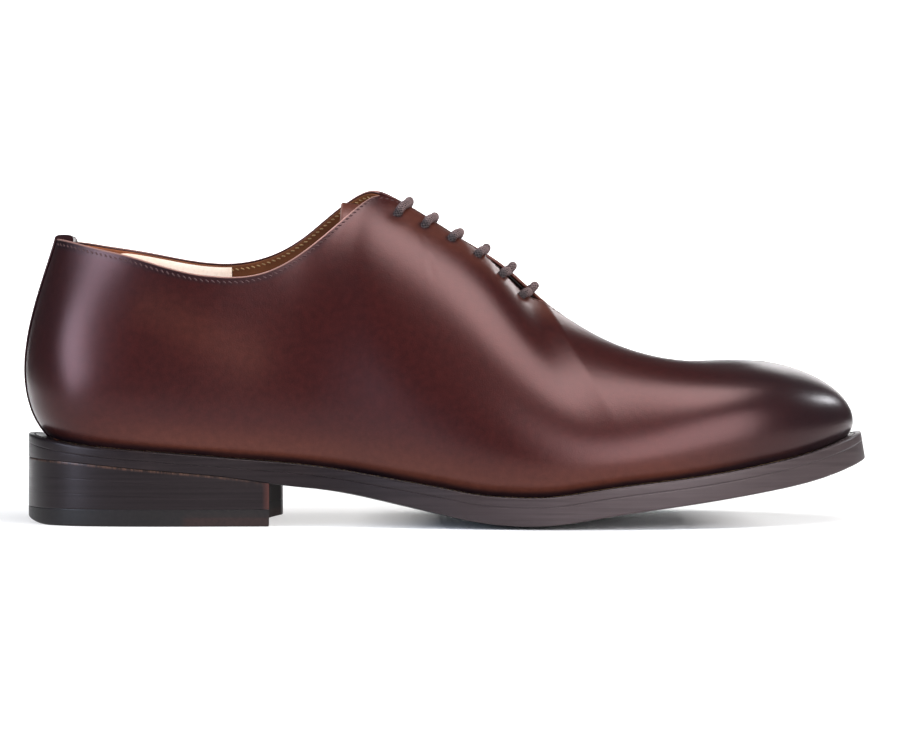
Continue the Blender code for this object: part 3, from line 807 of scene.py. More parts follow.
def lace_look():
    """Waxed cotton cord: the strands are in the mesh, and the threads in the bump. The grooves between
    strands and the parts near the eyelets are darkened as painted shade.
    """
    look = Look("waxed_cord")
    threads = look.noise(2400, 3, 0.6)
    # painted shade in the grooves between strands
    color = look.ramp(look.field("strand"), (0.74, (0.022, 0.014, 0.0135)), (0.97, (0.16, 0.106, 0.104)))
    color = look.mixed(look.ranged(threads, 0.45, 0.75, 0, 0.5), color, (0.2, 0.14, 0.135))
    # painted shade where the lace nears the eyelets
    color = look.mixed(look.field("shaded"), color, (0.022, 0.017, 0.018))
    return look.finished((threads, 0.35, 0.0002), color=color, roughness=0.7, specular=0.25)


def burnish_and_shade_of(points, station, rise):
    """How dark the leather is: burnished at toe and heel, darker along the collar, partly as painted shade of
    a groove at its stitch row, and painted shade in the crease at the welt.
    """
    x, z = points[:, 0], points[:, 2]
    toe = 0.95 * smooth_step((x - 58) / 75) ** 1.2
    heel = 0.4 * smooth_step((-118 - x) / 30)
    # darker along the collar: partly the edge's stain, partly painted shade of a groove along the stitch row
    collar = 0.6 * smooth_step((rise - 0.955) / 0.02) * (station < THROAT_TOP)
    crown = 0.22 * smooth_step((z - 60) / 40) * smooth_step((-10 - x) / 60)
    # painted shade in the crease where the upper meets the welt
    crease = 0.9 * smooth_step((0.075 - rise) / 0.05)
    return np.clip(toe + heel + collar + crown + crease, 0, 1)


def warmth_and_sheen_of(points, station, rise, side):
    """How far the polish leaves the leather lighter and more orange beside the lacing; along the welt this is
    partly a painted reflection of the floor, and the streaks are painted highlights.
    """
    # partly a painted reflection of the floor, low along the welt
    low = 1 - smooth_step((rise - 0.02) / 0.3)
    ends = 1 - smooth_step((np.abs(points[:, 0] - 5) - 95) / 50)
    facing = smooth_step((rise - 0.8) / 0.15) * smooth_step((station - 5.3) / 0.4)
    facing *= 1 - smooth_step((station - THROAT_END) / 0.5)
    warmth_and_sheen = 0.75 * low * (0.25 + 0.75 * ends) + 0.6 * facing
    # painted highlights along the streaks
    for streak in HIGHLIGHT_STREAKS:
        warmth_and_sheen += streak.strength * np.exp(-(side_distance(points, streak) ** 2)) * (side == streak.side)
    return np.clip(warmth_and_sheen, 0, 1)


def add_wholecut(look, eyelets, sheet):
    """The outer leather, with a pale cut edge where its top edge is open."""
    points, quads, station, rise, side = sheet
    shaped = points + point_normals(points, quads) * relief(points, side, eyelets)[:, None]
    walls, faces, source = shell(shaped, quads, 0, LEATHER_IN, RIM_ROUNDING * (rise > 0.5), 5)
    # painted shade round each eyelet, whose hole isn't cut
    shade = np.exp(-((eyelet_distances(points, eyelets).min(0) / EYELET_SHADE) ** 4))
    inner_face = np.arange(len(walls)) // len(points) == 1
    at_gape = (side == LATERAL) & (station > GAPE_START) & (station < THROAT_END)
    open_edge = (rise == 1) & ((station < THROAT_TOP) | at_gape)
    fields = {
        "burnish_and_shade": np.maximum(burnish_and_shade_of(points, station, rise), shade)[source],
        "warmth_and_sheen": warmth_and_sheen_of(points, station, rise, side)[source],
        "cut_edge": open_edge[source] & ~inner_face,
    }
    add_piece("wholecut", walls, faces, look, ("upper",), fields)


def add_lining(look):
    points, quads, station, rise, _ = upper_sheet(COARSE, COARSE_RISE, LINING_DROP)
    walls, faces, source = shell(points, quads, LINING_OUT, LINING_IN, rise > 0.5)
    fields = {
        "tan": (1 - smooth_step((station - 1.6) / 0.5))[source],
        # painted shade on the lining inside the throat
        "shaded": smooth_step((station - 5.4) / 0.2)[source],
    }
    add_piece("quarter_lining", walls, faces, look, (), fields)


PANEL_FRONT = -81.5  # where the pale heel lining meets the quarter lining
PANEL_THICKNESS = 0.35
PANEL_LOW = 0.35  # share of the upper's height where it ends
PANEL_DOWN = 1.3  # its top edge lies this far under the collar's at the sides
PANEL_DIP = 8.5  # and this much further under it at the back
PANEL_ROWS = 25
PANEL_CUTS = 40


def add_heel_lining(look):
    """A pale lining round the heel, whose top edge runs below the collar at the back."""
    search = np.linspace(0, TOE_STATION / 2, SEARCH_STEPS)
    halves = []
    for side in SIDES:
        front = np.interp(PANEL_FRONT, top_point(search, side)[:, 0], search)
        cuts = np.linspace(0, front, PANEL_CUTS)
        down = PANEL_DOWN + PANEL_DIP * (1 - smooth_step((cuts - 0.6) / 1.1))
        top = 1 - down / top_slope(cuts, side)
        rise = PANEL_LOW + np.linspace(0, 1, PANEL_ROWS)[:, None] * (top - PANEL_LOW)
        halves.append(upper_surface(cuts, rise, side))
    whole = np.concatenate([halves[0][:, ::-1], halves[1][:, 1:]], 1)
    quads = grid_quads(*whole.shape[:2], turned=True)
    walls, faces, _ = shell(whole.reshape(-1, 3), quads, LINING_IN + FILM, LINING_IN + PANEL_THICKNESS)
    add_piece("heel_lining", walls, faces, look)


STRIP_HALF = 4.6
STRIP_THICKNESS = 0.75
# The side of the strip's tab, which is folded over the collar: forward from the collar's edge and up from it
TabRow = namedtuple("TabRow", "forward up")
TAB_ROWS = rows_of(
    TabRow, (-0.75, -1.2), (-0.8, 0.2), (-0.6, 0.95), (-0.1, 1.45), (0.8, 1.75), (2.4, 1.85), (4.2, 1.8),
    (5.3, 1.55), (5.95, 0.95), (6.1, 0), (5.9, -1.3), (5.2, -1.7), (2.6, -1.7), (0.2, -1.6),
)


def add_back_strip(look):
    """The narrow strip up the middle of the heel, whose tab is folded over the collar."""
    top = 1 - TAB_DROP / top_slope(np.zeros(1), LATERAL)[0]
    rise = np.linspace(0, top, 60)[:, None]
    cuts = np.linspace(0, 0.9, 120)
    around = np.concatenate(
        [upper_surface(cuts, rise, LATERAL)[:, :0:-1], upper_surface(cuts, rise, MEDIAL)], 1
    )
    across = np.linspace(-STRIP_HALF, STRIP_HALF, 13)
    rows = []
    for line in around:
        along = arc_lengths(line)
        rows.append(sampled(line, along - along[len(cuts) - 1], across))
    quads = grid_quads(len(rows), len(across), turned=True)
    walls, faces, _ = shell(np.concatenate(rows), quads, -STRIP_THICKNESS, -FILM)
    tab = rows[-1][:, None] + np.array([(row.forward, 0, row.up) for row in TAB_ROWS])
    tab_faces = tube_quads(len(across), len(TAB_ROWS), len(walls), capped=True)
    walls = np.concatenate([walls, tab.reshape(-1, 3)])
    fields = {"burnish_and_shade": np.full(len(walls), 0.7)}
    add_piece("back_strip", walls, np.concatenate([faces, tab_faces]), look, (), fields)


# The edge of each layer of the sole, from its underside up: inset from the outline and share of its height.
RimRow = namedtuple("RimRow", "inset share")


def groove(share):
    """The rows of a fine groove round an edge."""
    return (0, share - 0.02), (0, share - 0.008), (0.02, share), (0, share + 0.008), (0, share + 0.02)


SOLE_RIM = rows_of(RimRow, (0.6, 0), (0.2, 0.02), (0.02, 0.07), (0, 0.11), (0, 0.93), (0, 0.97), (0.1, 1))
WELT_RIM = rows_of(RimRow, (0.1, 0), (0, 0.06), (0, 0.14), (0, 0.7), (0.02, 0.78), (0.12, 0.91), (0.4, 1))
HEEL_RIM = rows_of(
    RimRow, (0.08, 0), (0, 0.015), (0, 0.03), *groove(0.33), *groove(0.66),
    (0, 0.92), (0, 0.94), (0, 0.955), (0, 0.985), (0.08, 1),
)
TOP_PIECE_RIM = rows_of(
    RimRow, (0.5, 0), (0.15, 0.03), (0.02, 0.08), (0, 0.12), (0, 0.5), (0, 0.55), (0, 0.94), (0, 0.97),
    (0.08, 1),
)
SOCK_RIM = rows_of(RimRow, (0, 0), (0, 0.85), (0.25, 0.96), (0.7, 1))
HALF_ACROSS = (0.2, FLAT_MIDDLE, 0.6, 0.75, 0.9, 1)
ACROSS_SOLE = np.array([-share for share in HALF_ACROSS[::-1]] + [0, *HALF_ACROSS])
SOLE_CUTS = stations(COARSE)


def add_slab(name, outline, rim, top, bottom, look, replaced, fields_of=None):
    """A solid between two outlines in plan, with a shaped edge all round.

    outline gives the two sides for an inset, and top and bottom give a point's place and height from its plan
    and its share across.
    """
    share = (ACROSS_SOLE[None, :, None] + 1) / 2
    points = []
    for row, height in ((rim[0], bottom), (rim[-1], top)):
        lateral, medial = outline(row.inset)
        plan = lateral[:, None] * (1 - share) + medial[:, None] * share
        width = np.linalg.norm(medial - lateral, axis=-1)[:, None]
        spread = np.where(width > POINTED, ACROSS_SOLE, 1)
        points.append(raised(*height(plan, spread)).reshape(-1, 3))
    rows, columns = plan.shape[:2]
    count = rows * columns
    faces = [grid_quads(rows, columns, turned=True), grid_quads(rows, columns, count)]
    inner = ACROSS_SOLE[1:-1]
    for row in rim:
        lateral, medial = outline(row.inset)
        front = lateral[-1] * (1 - inner[:, None]) / 2 + medial[-1] * (1 + inner[:, None]) / 2
        pointed = np.linalg.norm(medial[-1] - lateral[-1]) <= POINTED
        edge = np.ones(len(lateral))
        plan = np.concatenate([lateral, front, medial[::-1]])
        spread = np.concatenate([edge, np.ones(len(inner)) if pointed else inner, edge])
        low = raised(*bottom(plan, spread))
        points.append(low + (raised(*top(plan, spread)) - low) * row.share)
    faces.append(tube_quads(len(rim), len(plan), 2 * count))
    whole, quads, _ = merged(np.concatenate(points), np.concatenate(faces))
    add_piece(name, whole, quads, look, replaced, fields_of(whole) if fields_of else None)


def add_sole(look):
    def outline(inset):
        return [sole_outline(SOLE_CUTS, side, inset) for side in SIDES]

    def top(plan, across):
        return on_sole(plan, across, -WELT_THICKNESS - LAYER_GAP)

    def bottom(plan, across):
        return plan, np.maximum(sole_height(plan[..., 0], across, 0), 0)

    add_slab("sole_leather", outline, SOLE_RIM, top, bottom, look, ("outsole",))


def add_welt(look):
    """A ring all the way round, with a rounded outer edge."""
    loops = []
    for side, order in ((LATERAL, SOLE_CUTS), (MEDIAL, SOLE_CUTS[-2:0:-1])):
        inner = upper_foot(order, side, WELT_INSIDE)
        corners = [(sole_outline(order, side, row.inset), row.share - 1) for row in WELT_RIM]
        corners += [(inner, 0), (inner, -1)]
        ring = []
        for plan, above in corners:
            ring.append(raised(*on_sole(plan, share_across(order, plan), WELT_THICKNESS * above)))
        loops.append(ring)
    points = np.concatenate(loops, axis=1)
    corners, count = points.shape[:2]
    quads = tube_quads(corners + 1, count) % (corners * count)  # the last ring is the first one again
    add_piece("welt_strip", points.reshape(-1, 3), quads, look, ("welt",))


HEEL_STEPS = 70
HEEL_CROWDING = 1.3
SEAM_BAND = 0.5  # the brown line under the outsole
SEAM_END = -90.0  # from where it fades to the front
SEAM_FADE = 25.0  # over this length
SEAM_LOSS = 0.75  # by this share
WORN_EDGE = 1.1  # the reddish front corner of the lifts
WORN_ASIDE = 29.0  # the front face is worn only this far out from the middle
LEATHER_PART_BACK = -93.0  # the front of the top piece is brown leather up to here
LEATHER_PART_HEIGHT = 3.1


def heel_outline(inset):
    """The two sides of the heel in plan, from the back to the breast."""
    search = np.linspace(0, TOE_STATION / 2, SEARCH_STEPS)
    share = np.linspace(0, 1, HEEL_STEPS + 1) ** HEEL_CROWDING
    sides = []
    for side in SIDES:
        breast = np.interp(HEEL_BREAST - inset, sole_outline(search, side, inset)[..., 0], search)
        sides.append(sole_outline(share * breast, side, inset))
    return sides


def hollowed(plan, across):
    """Sets the middle of the heel's front face back, less and less towards the back of the heel."""
    start = -LENGTH / 2
    near_breast = smooth_step((plan[..., 0] - start) / (HEEL_BREAST - start)) ** 3
    moved = plan.copy()
    moved[..., 0] -= BREAST_HOLLOW * (1 - across**2) * near_breast
    return moved


def breast_of(points):
    """1 on the heel's hollow front face, 0 elsewhere."""
    front = points[:, 0] > HEEL_BREAST - BREAST_HOLLOW - 1
    return front & (np.abs(points[:, 1]) < WORN_ASIDE + 1)


def lift_fields(points):
    x, y, z = points.T
    under_seat = sole_height(x, np.ones(len(x)), 0) - z
    seam = 1 - smooth_step((under_seat - SEAM_BAND) / SEAM_BAND)
    corner = smooth_step((x - HEEL_BREAST + WORN_EDGE) / WORN_EDGE)
    return {
        "seam": seam * (1 - SEAM_LOSS * smooth_step((x - SEAM_END) / SEAM_FADE)),
        "worn": corner * smooth_step((np.abs(y) - WORN_ASIDE) / 2),
        "breast": breast_of(points),
    }


def rubber_fields(points):
    low = 1 - smooth_step((points[:, 2] - LEATHER_PART_HEIGHT) / 0.3)
    part = low * smooth_step((points[:, 0] - LEATHER_PART_BACK) / 0.5)
    return {"leather_part": part, "breast": breast_of(points)}


def add_heel(lifts, rubber):
    def seat(plan, across):
        moved = hollowed(plan, across)
        return moved, sole_height(moved[..., 0], across, -LAYER_GAP)

    def joint(plan, across):
        return hollowed(plan, across), np.full(across.shape, TOP_PIECE_HEIGHT + LAYER_GAP)

    def cap(plan, across):
        return hollowed(plan, across), np.full(across.shape, TOP_PIECE_HEIGHT)

    def ground(plan, across):
        bevel = np.maximum(1 - (plan[..., 0] - HEEL_SECTION.along * LENGTH) / BEVEL_LENGTH, 0)
        return hollowed(plan, across), BEVEL_HEIGHT * bevel**2

    add_slab(
        "heel_lifts", heel_outline, HEEL_RIM, seat, joint, lifts, ("heel_stack",), lift_fields
    )
    add_slab(
        "top_piece", heel_outline, TOP_PIECE_RIM, cap, ground, rubber, ("heel_top_piece",),
        rubber_fields,
    )


def add_sock(look):
    width = np.linalg.norm(sole_outline(SOLE_CUTS, LATERAL) - sole_outline(SOLE_CUTS, MEDIAL), axis=-1)
    cuts = np.concatenate([[0], SOLE_CUTS[width > 4 * INSOLE_INSET], [TOE_STATION]])

    def outline(inset):
        return [upper_foot(cuts, side, INSOLE_INSET + inset) for side in SIDES]

    def top(plan, across):
        return on_sole(plan, across, INSOLE_ABOVE_WELT)

    def bottom(plan, across):
        return on_sole(plan, across, -WELT_THICKNESS)

    add_slab("sock", outline, SOCK_RIM, top, bottom, look, ("insole",))


def add_tongue(look):
    shape = spline([row.along_mm for row in TONGUE_ROWS], np.array(TONGUE_ROWS, float)[:, 1:])
    x = np.linspace(TONGUE_ROWS[0].along_mm, TONGUE_ROWS[-1].along_mm, 60)[:, None]
    across = np.linspace(-1, 1, 33)
    rise, half_width, drop = np.moveaxis(shape(x), -1, 0)
    cuts = stations(COARSE)
    middle = TOP_MIDDLE(np.interp(x, TOP_MIDDLE(cuts)[:, 0], cuts))[..., 1]
    corner = 1 - 0.12 * smooth_step((-30 - x) / 8)
    y = middle + half_width * corner * across
    z = rise - drop * np.abs(across) ** TONGUE_ROUNDING
    points = np.stack([np.broadcast_to(x, y.shape), y, z], -1).reshape(-1, 3)
    quads = grid_quads(len(x), len(across))
    if point_normals(points, quads)[:, 2].mean() < 0:
        quads = quads[:, ::-1]
    walls, faces, _ = shell(points, quads, 0, TONGUE_THICKNESS, rim_steps=5)
    fields = {
        "burnish_and_shade": np.full(len(walls), 0.1),
        "warmth_and_sheen": np.full(len(walls), 0.8),
        "cut_edge": 0.6 * (np.arange(len(walls)) >= 2 * len(points)),
    }
    add_piece("tongue_leather", walls, faces, look, ("tongue",), fields)


STRANDS = 6
BRAID_PITCH = 5.0
BRAID_DEPTH = 0.42
CORD_RADIUS = 1.62  # the cord's strands bulge a little past the plain bars
LACE_STEP = 0.2
LACE_SIDES = 28
LACE_DEEP = LINING_IN + LACE_RADIUS + 0.25  # how far the lace runs under the upper's face inside the shoe


def lace_bar(crossing, surface):
    """Points of the lace over the throat, from the lateral eyelet to the medial one."""
    _, up = lace_plane(crossing)
    shares = np.linspace(-1, 1, 15)
    bar = []
    for (place, normal), share in zip(lace_points(crossing, surface, shares), shares):
        lift = LACE_RADIUS + 0.1
        if normal is not None:
            lift /= max(normal.dot(up), 0.5)
        near_end = smooth_step((abs(share) - 0.72) / 0.28)
        bar.append(place + up * (lift * (1 - 0.75 * near_end)))
    return bar


def lace_route(surface):
    """One lace through all the eyelets: its two ends stop inside at the top ones."""
    ends = {}
    for number, crossing in enumerate(LACE_CROSSINGS, 1):
        for side, found in zip(SIDES, lace_points(crossing, surface, SIDES)):
            ends[number, side] = found

    def dive(number, side):
        place, normal = ends[number, side]
        inward = Vector((0, -side * 0.8, 0))
        return [place - normal + inward * 0.2, place - normal * LACE_DEEP + inward]

    route = []
    # From the top on the medial side down every other bar, and back up the others.
    order = ((1, MEDIAL), (3, LATERAL), (5, MEDIAL), (6, LATERAL), (4, MEDIAL), (2, LATERAL))
    for number, start in order:
        bar = lace_bar(LACE_CROSSINGS[number - 1], surface)[::-start]
        route += dive(number, start)[::-1] + bar[1:-1] + dive(number, -start)
    place, normal = ends[1, MEDIAL]
    route.append(place - normal * LACE_DEEP + Vector((2, -1, -1)))
    return np.array(route)


def smooth_path(points, step):
    """Points a step apart on a smooth curve through the given ones, and how far along it they lie."""
    gaps = np.maximum(np.linalg.norm(np.diff(points, axis=0), axis=1), 0.2)
    knots = np.concatenate([[0], np.cumsum(np.sqrt(gaps))])
    dense = spline(knots, points)(np.linspace(0, knots[-1], len(points) * 60))
    along = arc_lengths(dense)
    where = np.linspace(0, along[-1], int(along[-1] / step) + 1)
    return sampled(dense, along, where), where


def square_directions(path):
    """Two directions square to a path for each of its points, turning as little as they can."""
    tangents = unit(np.gradient(path, axis=0))
    sides = [unit(np.cross(tangents[0], (0.3, 0.2, 0.9)))]
    for tangent in tangents[1:]:
        sides.append(unit(sides[-1] - tangent * (sides[-1] @ tangent)))
    sides = np.array(sides)
    return sides, np.cross(tangents, sides)


def add_lace(look, surface, eyelets):
    path, along = smooth_path(lace_route(surface), LACE_STEP)
    side, other = square_directions(path)
    angle = np.linspace(0, 2 * math.pi, LACE_SIDES, endpoint=False)
    turn = 2 * math.pi * along[:, None] / BRAID_PITCH
    one = np.abs(np.cos(STRANDS / 2 * (angle + turn)))
    two = np.abs(np.cos(STRANDS / 2 * (angle - turn)))
    strand = np.maximum(one, two)
    radius = CORD_RADIUS - BRAID_DEPTH * (1 - strand) * 2
    spokes = np.cos(angle)[:, None] * side[:, None] + np.sin(angle)[:, None] * other[:, None]
    skin = path[:, None] + radius[..., None] * spokes
    points = np.concatenate([skin.reshape(-1, 3), path[[0, -1]]])
    first, last = len(points) - 2, len(points) - 1
    ring = np.arange(LACE_SIDES)
    after = np.roll(ring, -1)
    end = first - LACE_SIDES
    caps = [(b, a, first, first) for a, b in zip(ring, after)]
    caps += [(end + a, end + b, last, last) for a, b in zip(ring, after)]
    away = eyelet_distances(points, eyelets).min(0)
    fields = {
        # dark between the strands: painted shade
        "strand": np.append(strand.reshape(-1), [0.8, 0.8]),
        # painted shade near the eyelets
        "shaded": 0.85 * (1 - smooth_step((away - 1.0) / 2.0)),
    }
    quads = np.concatenate([tube_quads(len(path), LACE_SIDES), caps])
    bars = [f"lace_bar_{number}" for number in range(1, len(LACE_CROSSINGS) + 1)]
    add_piece("lace", points, quads, look, bars, fields)


Thread = namedtuple("Thread", "pitch length radius height sink slant")
COLLAR_THREAD = Thread(2.05, 1.8, 0.3, 0.32, 0.05, -0.65)
FACING_THREAD = Thread(2.05, 1.7, 0.22, 0.2, 0.05, 0.3)
WELT_THREAD = Thread(2.6, 2.1, 0.36, 0.22, 0.12, 0.05)
STITCH_SIDES = 6
STITCH_STEPS = 6


def add_stitches(name, lines, thread, look):
    """Short stitches along lines of (points, normals)."""
    angle = np.linspace(0, 2 * math.pi, STITCH_SIDES, endpoint=False)[:, None]
    share = np.linspace(0, 1, STITCH_STEPS)[:, None]
    arch = np.sin(math.pi * share)
    forward = (share - 0.5) * thread.length
    above = thread.height * arch - thread.sink - thread.radius * 0.6
    radius = thread.radius * (0.55 + 0.45 * arch)
    points = []
    for line, normals in lines:
        along = arc_lengths(line)
        where = np.arange(thread.pitch / 2, along[-1] - thread.pitch / 2, thread.pitch)
        middle = sampled(line, along, where)
        up = unit(sampled(normals, along, where))
        ahead = unit(sampled(line, along, where + 0.1) - middle)
        way = unit(ahead + thread.slant * np.cross(up, ahead))
        across = np.cross(up, way)
        spine = middle[:, None] + forward * way[:, None] + above * up[:, None]
        ring = np.cos(angle) * across[:, None] + np.sin(angle) * up[:, None]
        points.append((spine[:, :, None] + radius[..., None] * ring[:, None]).reshape(-1, 3))
    points = np.concatenate(points)
    starts = np.arange(0, len(points), STITCH_STEPS * STITCH_SIDES)
    quads = starts[:, None, None] + tube_quads(STITCH_STEPS, STITCH_SIDES, capped=True)
    add_piece(name, points, quads.reshape(-1, 4), look)


def surface_line(cuts, side, down, offset=0.0):
    """A line a distance below the upper's top edge, with normals, moved out of the face by offset."""
    share = 1 - (down + tab_drop(cuts)) / top_slope(cuts, side)
    nudge = 0.004
    below, line, above = upper_surface(cuts, np.stack([share - nudge, share, share + nudge]), side)
    normals = unit(np.cross(np.gradient(line, axis=0), above - below) * -side)
    return line + normals * offset, normals


COLLAR_STITCH_DOWN = 1.8
LINING_STITCH_DOWN = 2.1
FACING_STITCH_IN = 1.9
WELT_STITCH_IN = 2.2
COLLAR_STITCH_START = 0.42  # station where the row on the collar begins, beside the back strip
# The stitches round the end of the throat: the middle of their arc and its two radii, in plan
ARC_MIDDLE = (36.5, 1.5)
ARC_ALONG = 5.0
ARC_ASIDE = 3.6


def throat_arc(surface):
    """A line on the upper round the end of the throat, with normals."""
    found = []
    for angle in np.linspace(-0.5 * math.pi, 0.5 * math.pi, 40):
        x = ARC_MIDDLE[0] + ARC_ALONG * math.cos(angle)
        y = ARC_MIDDLE[1] + ARC_ASIDE * math.sin(angle)
        place, normal, _, _ = surface.ray_cast(Vector((x, y, INSTEP_HEIGHT)), Vector((0, 0, -1)))
        found.append((place, normal if normal.z > 0 else -normal))
    return tuple(np.array(column) for column in zip(*found))


def add_all_stitches(dark, tan, surface):
    collar = np.linspace(COLLAR_STITCH_START, THROAT_TOP, 500)
    facing = np.linspace(THROAT_TOP, THROAT_END - 0.06, 500)
    outer, inner, edge = [], [], [throat_arc(surface)]
    for side in SIDES:
        outer.append(surface_line(collar, side, COLLAR_STITCH_DOWN))
        line, normals = surface_line(collar, side, LINING_STITCH_DOWN, -LINING_IN)
        inner.append((line, -normals))
        edge.append(surface_line(facing, side, FACING_STITCH_IN))
    add_stitches("collar_stitches", outer, COLLAR_THREAD, dark)
    add_stitches("lining_stitches", inner, COLLAR_THREAD, tan)
    add_stitches("facing_stitches", edge, FACING_THREAD, dark)


def add_welt_stitches(look):
    cuts = np.linspace(0, TOE_STATION, 900)
    lines = []
    for side in SIDES:
        plan = sole_outline(cuts, side, WELT_STITCH_IN)
        line = raised(*on_sole(plan, share_across(cuts, plan), 0))
        lines.append((line, np.tile((0.0, 0.0, 1.0), (len(line), 1))))
    add_stitches("welt_stitches", lines, WELT_THREAD, look)


FLOOR_HALF = 6.0
WallPanel = namedtuple("WallPanel", "name strength outline")
WALL_PANELS = (
    WallPanel("backdrop", 1.1, ((-1.3, 0), (0.3, 0), (0.48, 0.6), (-1.3, 0.6))),
    WallPanel("backdrop_right", 2.3, ((0.3, 0), (1.3, 0), (1.3, 1.3), (0.73, 1.3), (0.48, 0.6))),
)
WALL_PLACE = 2.2
BRIGHT_FRONT = -0.5  # the floor stays white up to here in front of the shoe, and fades to grey by DIM_FRONT
DIM_FRONT = -1.0
# The floor glows a little round the shoe, so that only the shadow under its forefoot stays dark.
FLOOR_GLOW = 0.6
SHADOW_BACK = (-0.002, -0.035)  # along, from dark to glowing
SHADOW_TOE = (0.085, 0.115)
SHADOW_FRONT = (-0.045, -0.062)  # across
SHADOW_REAR = (0.45, 0.25)


def add_stage_piece(name, corners, look):
    mesh = bpy.data.meshes.new(name)
    mesh.from_pydata(corners, [], [range(len(corners))])
    mesh.materials.append(look)
    made = placed(name, mesh)


def floor_look():
    look = Look("pale_floor")
    x, y = look.place_along("X"), look.place_along("Y")
    near = look.ranged(y, DIM_FRONT, BRIGHT_FRONT)
    clear = look.maths("MAXIMUM", look.ranged(x, *SHADOW_BACK), look.ranged(x, *SHADOW_TOE))
    clear = look.maths("MAXIMUM", clear, look.ranged(y, *SHADOW_FRONT))
    clear = look.maths("MULTIPLY", clear, look.ranged(y, *SHADOW_REAR))
    tone = look.ramp(clear, (0, (0.92, 0.92, 0.92)), (1, (0.4, 0.4, 0.4)))
    tone = look.mixed(near, (0.3, 0.3, 0.31), tone)
    cloud = look.ranged(look.noise(3, 3, 0.5), 0.3, 0.7, 0, 0.03)
    return look.finished(
        color=look.mixed(cloud, tone, (0.8, 0.8, 0.8)),
        glow=look.maths("MULTIPLY", look.maths("MULTIPLY", clear, near), FLOOR_GLOW),
        glow_color=(1, 0.985, 0.975),
        roughness=0.6,
        specular=0.1,
    )


def wall_look(name, strength):
    look = Look(f"white_{name}")
    tone = look.ramp(look.noise(2, 2, 0.5), (0.3, (1, 1, 1)), (0.7, (0.97, 0.97, 0.97)))
    return look.finished(glow=strength, glow_color=tone, roughness=0.9)


def add_stage():
    """A pale floor, and a low white backdrop well behind the shoe, brighter on the right."""
    edge = FLOOR_HALF
    floor = [(-edge, -edge, 0), (edge, -edge, 0), (edge, edge, 0), (-edge, edge, 0)]
    add_stage_piece("floor", floor, floor_look())
    for panel in WALL_PANELS:
        corners = [(x, WALL_PLACE, z) for x, z in panel.outline]
        add_stage_piece(panel.name, corners, wall_look(panel.name, panel.strength))


# Soft boxes round the shoe, and one over the floor behind it that keeps the floor there white.
# bearing goes from the camera's side to the right and rise up from the floor, seen from the aim.
# Both, and roll and spread, are in degrees, the sizes in metres and power in watts.
SoftBox = namedtuple("SoftBox", "name bearing rise distance width height roll spread power color aim")
SHOE_MIDDLE = (0, 0, 0.055)
TOE_CAP = (0.138, -0.011, 0.045)
FLOOR_BEHIND = (0, 1.2, 0)
WHITE = (1, 1, 1)
WARM = (1, 0.985, 0.985)
COOL = (0.97, 0.97, 1)
PALE_BLUE = (0.8, 0.95, 1)
BLUE = (0.68, 0.8, 1)
SOFT_BOXES = (
    SoftBox("key", 44.4, 71, 1.1, 0.9, 0.49, -42.8, 180, 11.4, WARM, SHOE_MIDDLE),
    SoftBox("key_foot", 35, 54.5, 1.28, 0.35, 0.2, -37.5, 180, 2.2, WARM, SHOE_MIDDLE),
    SoftBox("left_strip", -55, 18, 1.2, 0.4, 0.8, 36, 180, 11.5, BLUE, SHOE_MIDDLE),
    SoftBox("right_fill", 32, 15, 1.1, 0.95, 0.62, 0, 180, 13.1, COOL, SHOE_MIDDLE),
    SoftBox("toe_spark", 119.5, 28.5, 1.1, 0.14, 0.07, 0, 180, 1.85, PALE_BLUE, TOE_CAP),
    SoftBox("back_floor", 0, 90, 1.3, 3.0, 1.9, 0, 25, 22, WHITE, FLOOR_BEHIND),
)
WORLD_STRENGTH = 0.08


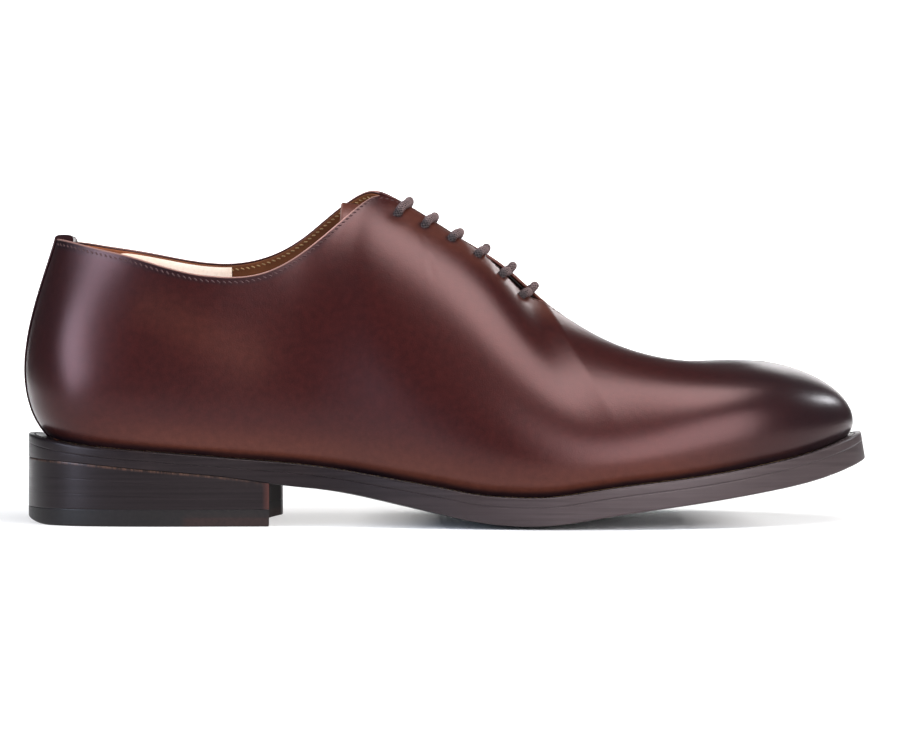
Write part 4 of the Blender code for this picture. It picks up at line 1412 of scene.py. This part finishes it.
def add_soft_box(box):
    lamp = bpy.data.lights.new(box.name, "AREA")
    lamp.shape = "RECTANGLE"
    lamp.size, lamp.size_y = box.width, box.height
    lamp.energy = box.power
    lamp.spread = math.radians(box.spread)
    lamp.color = box.color
    bearing, rise = math.radians(box.bearing), math.radians(box.rise)
    level = math.cos(rise) * box.distance
    offset = Vector((level * math.sin(bearing), -level * math.cos(bearing), math.sin(rise) * box.distance))
    holder = placed(box.name, lamp)
    holder.location = Vector(box.aim) + offset
    facing = (-offset).to_track_quat("-Z", "Y")
    holder.rotation_euler = (facing @ Quaternion((0, 0, 1), math.radians(box.roll))).to_euler()


def add_light():
    for box in SOFT_BOXES:
        add_soft_box(box)
    world = bpy.data.worlds.new("studio")
    world.use_nodes = True
    background = world.node_tree.nodes["Background"]
    background.inputs["Color"].default_value = (0.95, 0.96, 1, 1)
    background.inputs["Strength"].default_value = WORLD_STRENGTH
    bpy.context.scene.world = world


# The photograph's view: level, from the lateral side, a little above the middle of the shoe.
CAMERA_PLACE = (0.0011, -0.8, 0.0556)
CAMERA_LENS = 87.26


def add_camera():
    camera = bpy.data.cameras.new("camera")
    camera.lens = CAMERA_LENS
    camera.clip_start = 0.01
    holder = placed("camera", camera)
    holder.location = CAMERA_PLACE
    holder.rotation_euler = (math.pi / 2, 0, 0)
    bpy.context.scene.camera = holder


def build():
    bpy.context.scene.view_settings.view_transform = "Standard"
    leather = leather_look()
    edge = edge_look()
    sheet = upper_sheet(FINE, FINE_RISE)
    surface = BVHTree.FromPolygons(sheet.points.tolist(), sheet.quads.tolist())
    eyelets = []
    for crossing in LACE_CROSSINGS:
        eyelets += [np.array(place) for place, _ in lace_points(crossing, surface, SIDES)]
    add_wholecut(leather, eyelets, sheet)
    add_lining(lining_look("quarter_lining", (0.100, 0.028, 0.007), (0.155, 0.047, 0.014)))
    add_heel_lining(lining_look("heel_lining", (0.95, 0.74, 0.58), (0.98, 0.82, 0.68)))
    add_back_strip(leather)
    add_tongue(leather)
    add_lace(lace_look(), surface, eyelets)
    dark_thread = thread_look("dark_thread", (0.075, 0.037, 0.037))
    tan_thread = thread_look("tan_thread", (0.34, 0.2, 0.09))
    add_all_stitches(dark_thread, tan_thread, surface)
    add_sole(edge)
    add_welt(edge)
    add_welt_stitches(thread_look("welt_thread", (0.015, 0.010, 0.009)))
    add_heel(lift_look(), rubber_look())
    add_sock(lining_look("sock_leather", (0.36, 0.23, 0.12), (0.46, 0.31, 0.17)))
    add_stage()
    add_light()
    add_camera()


build()
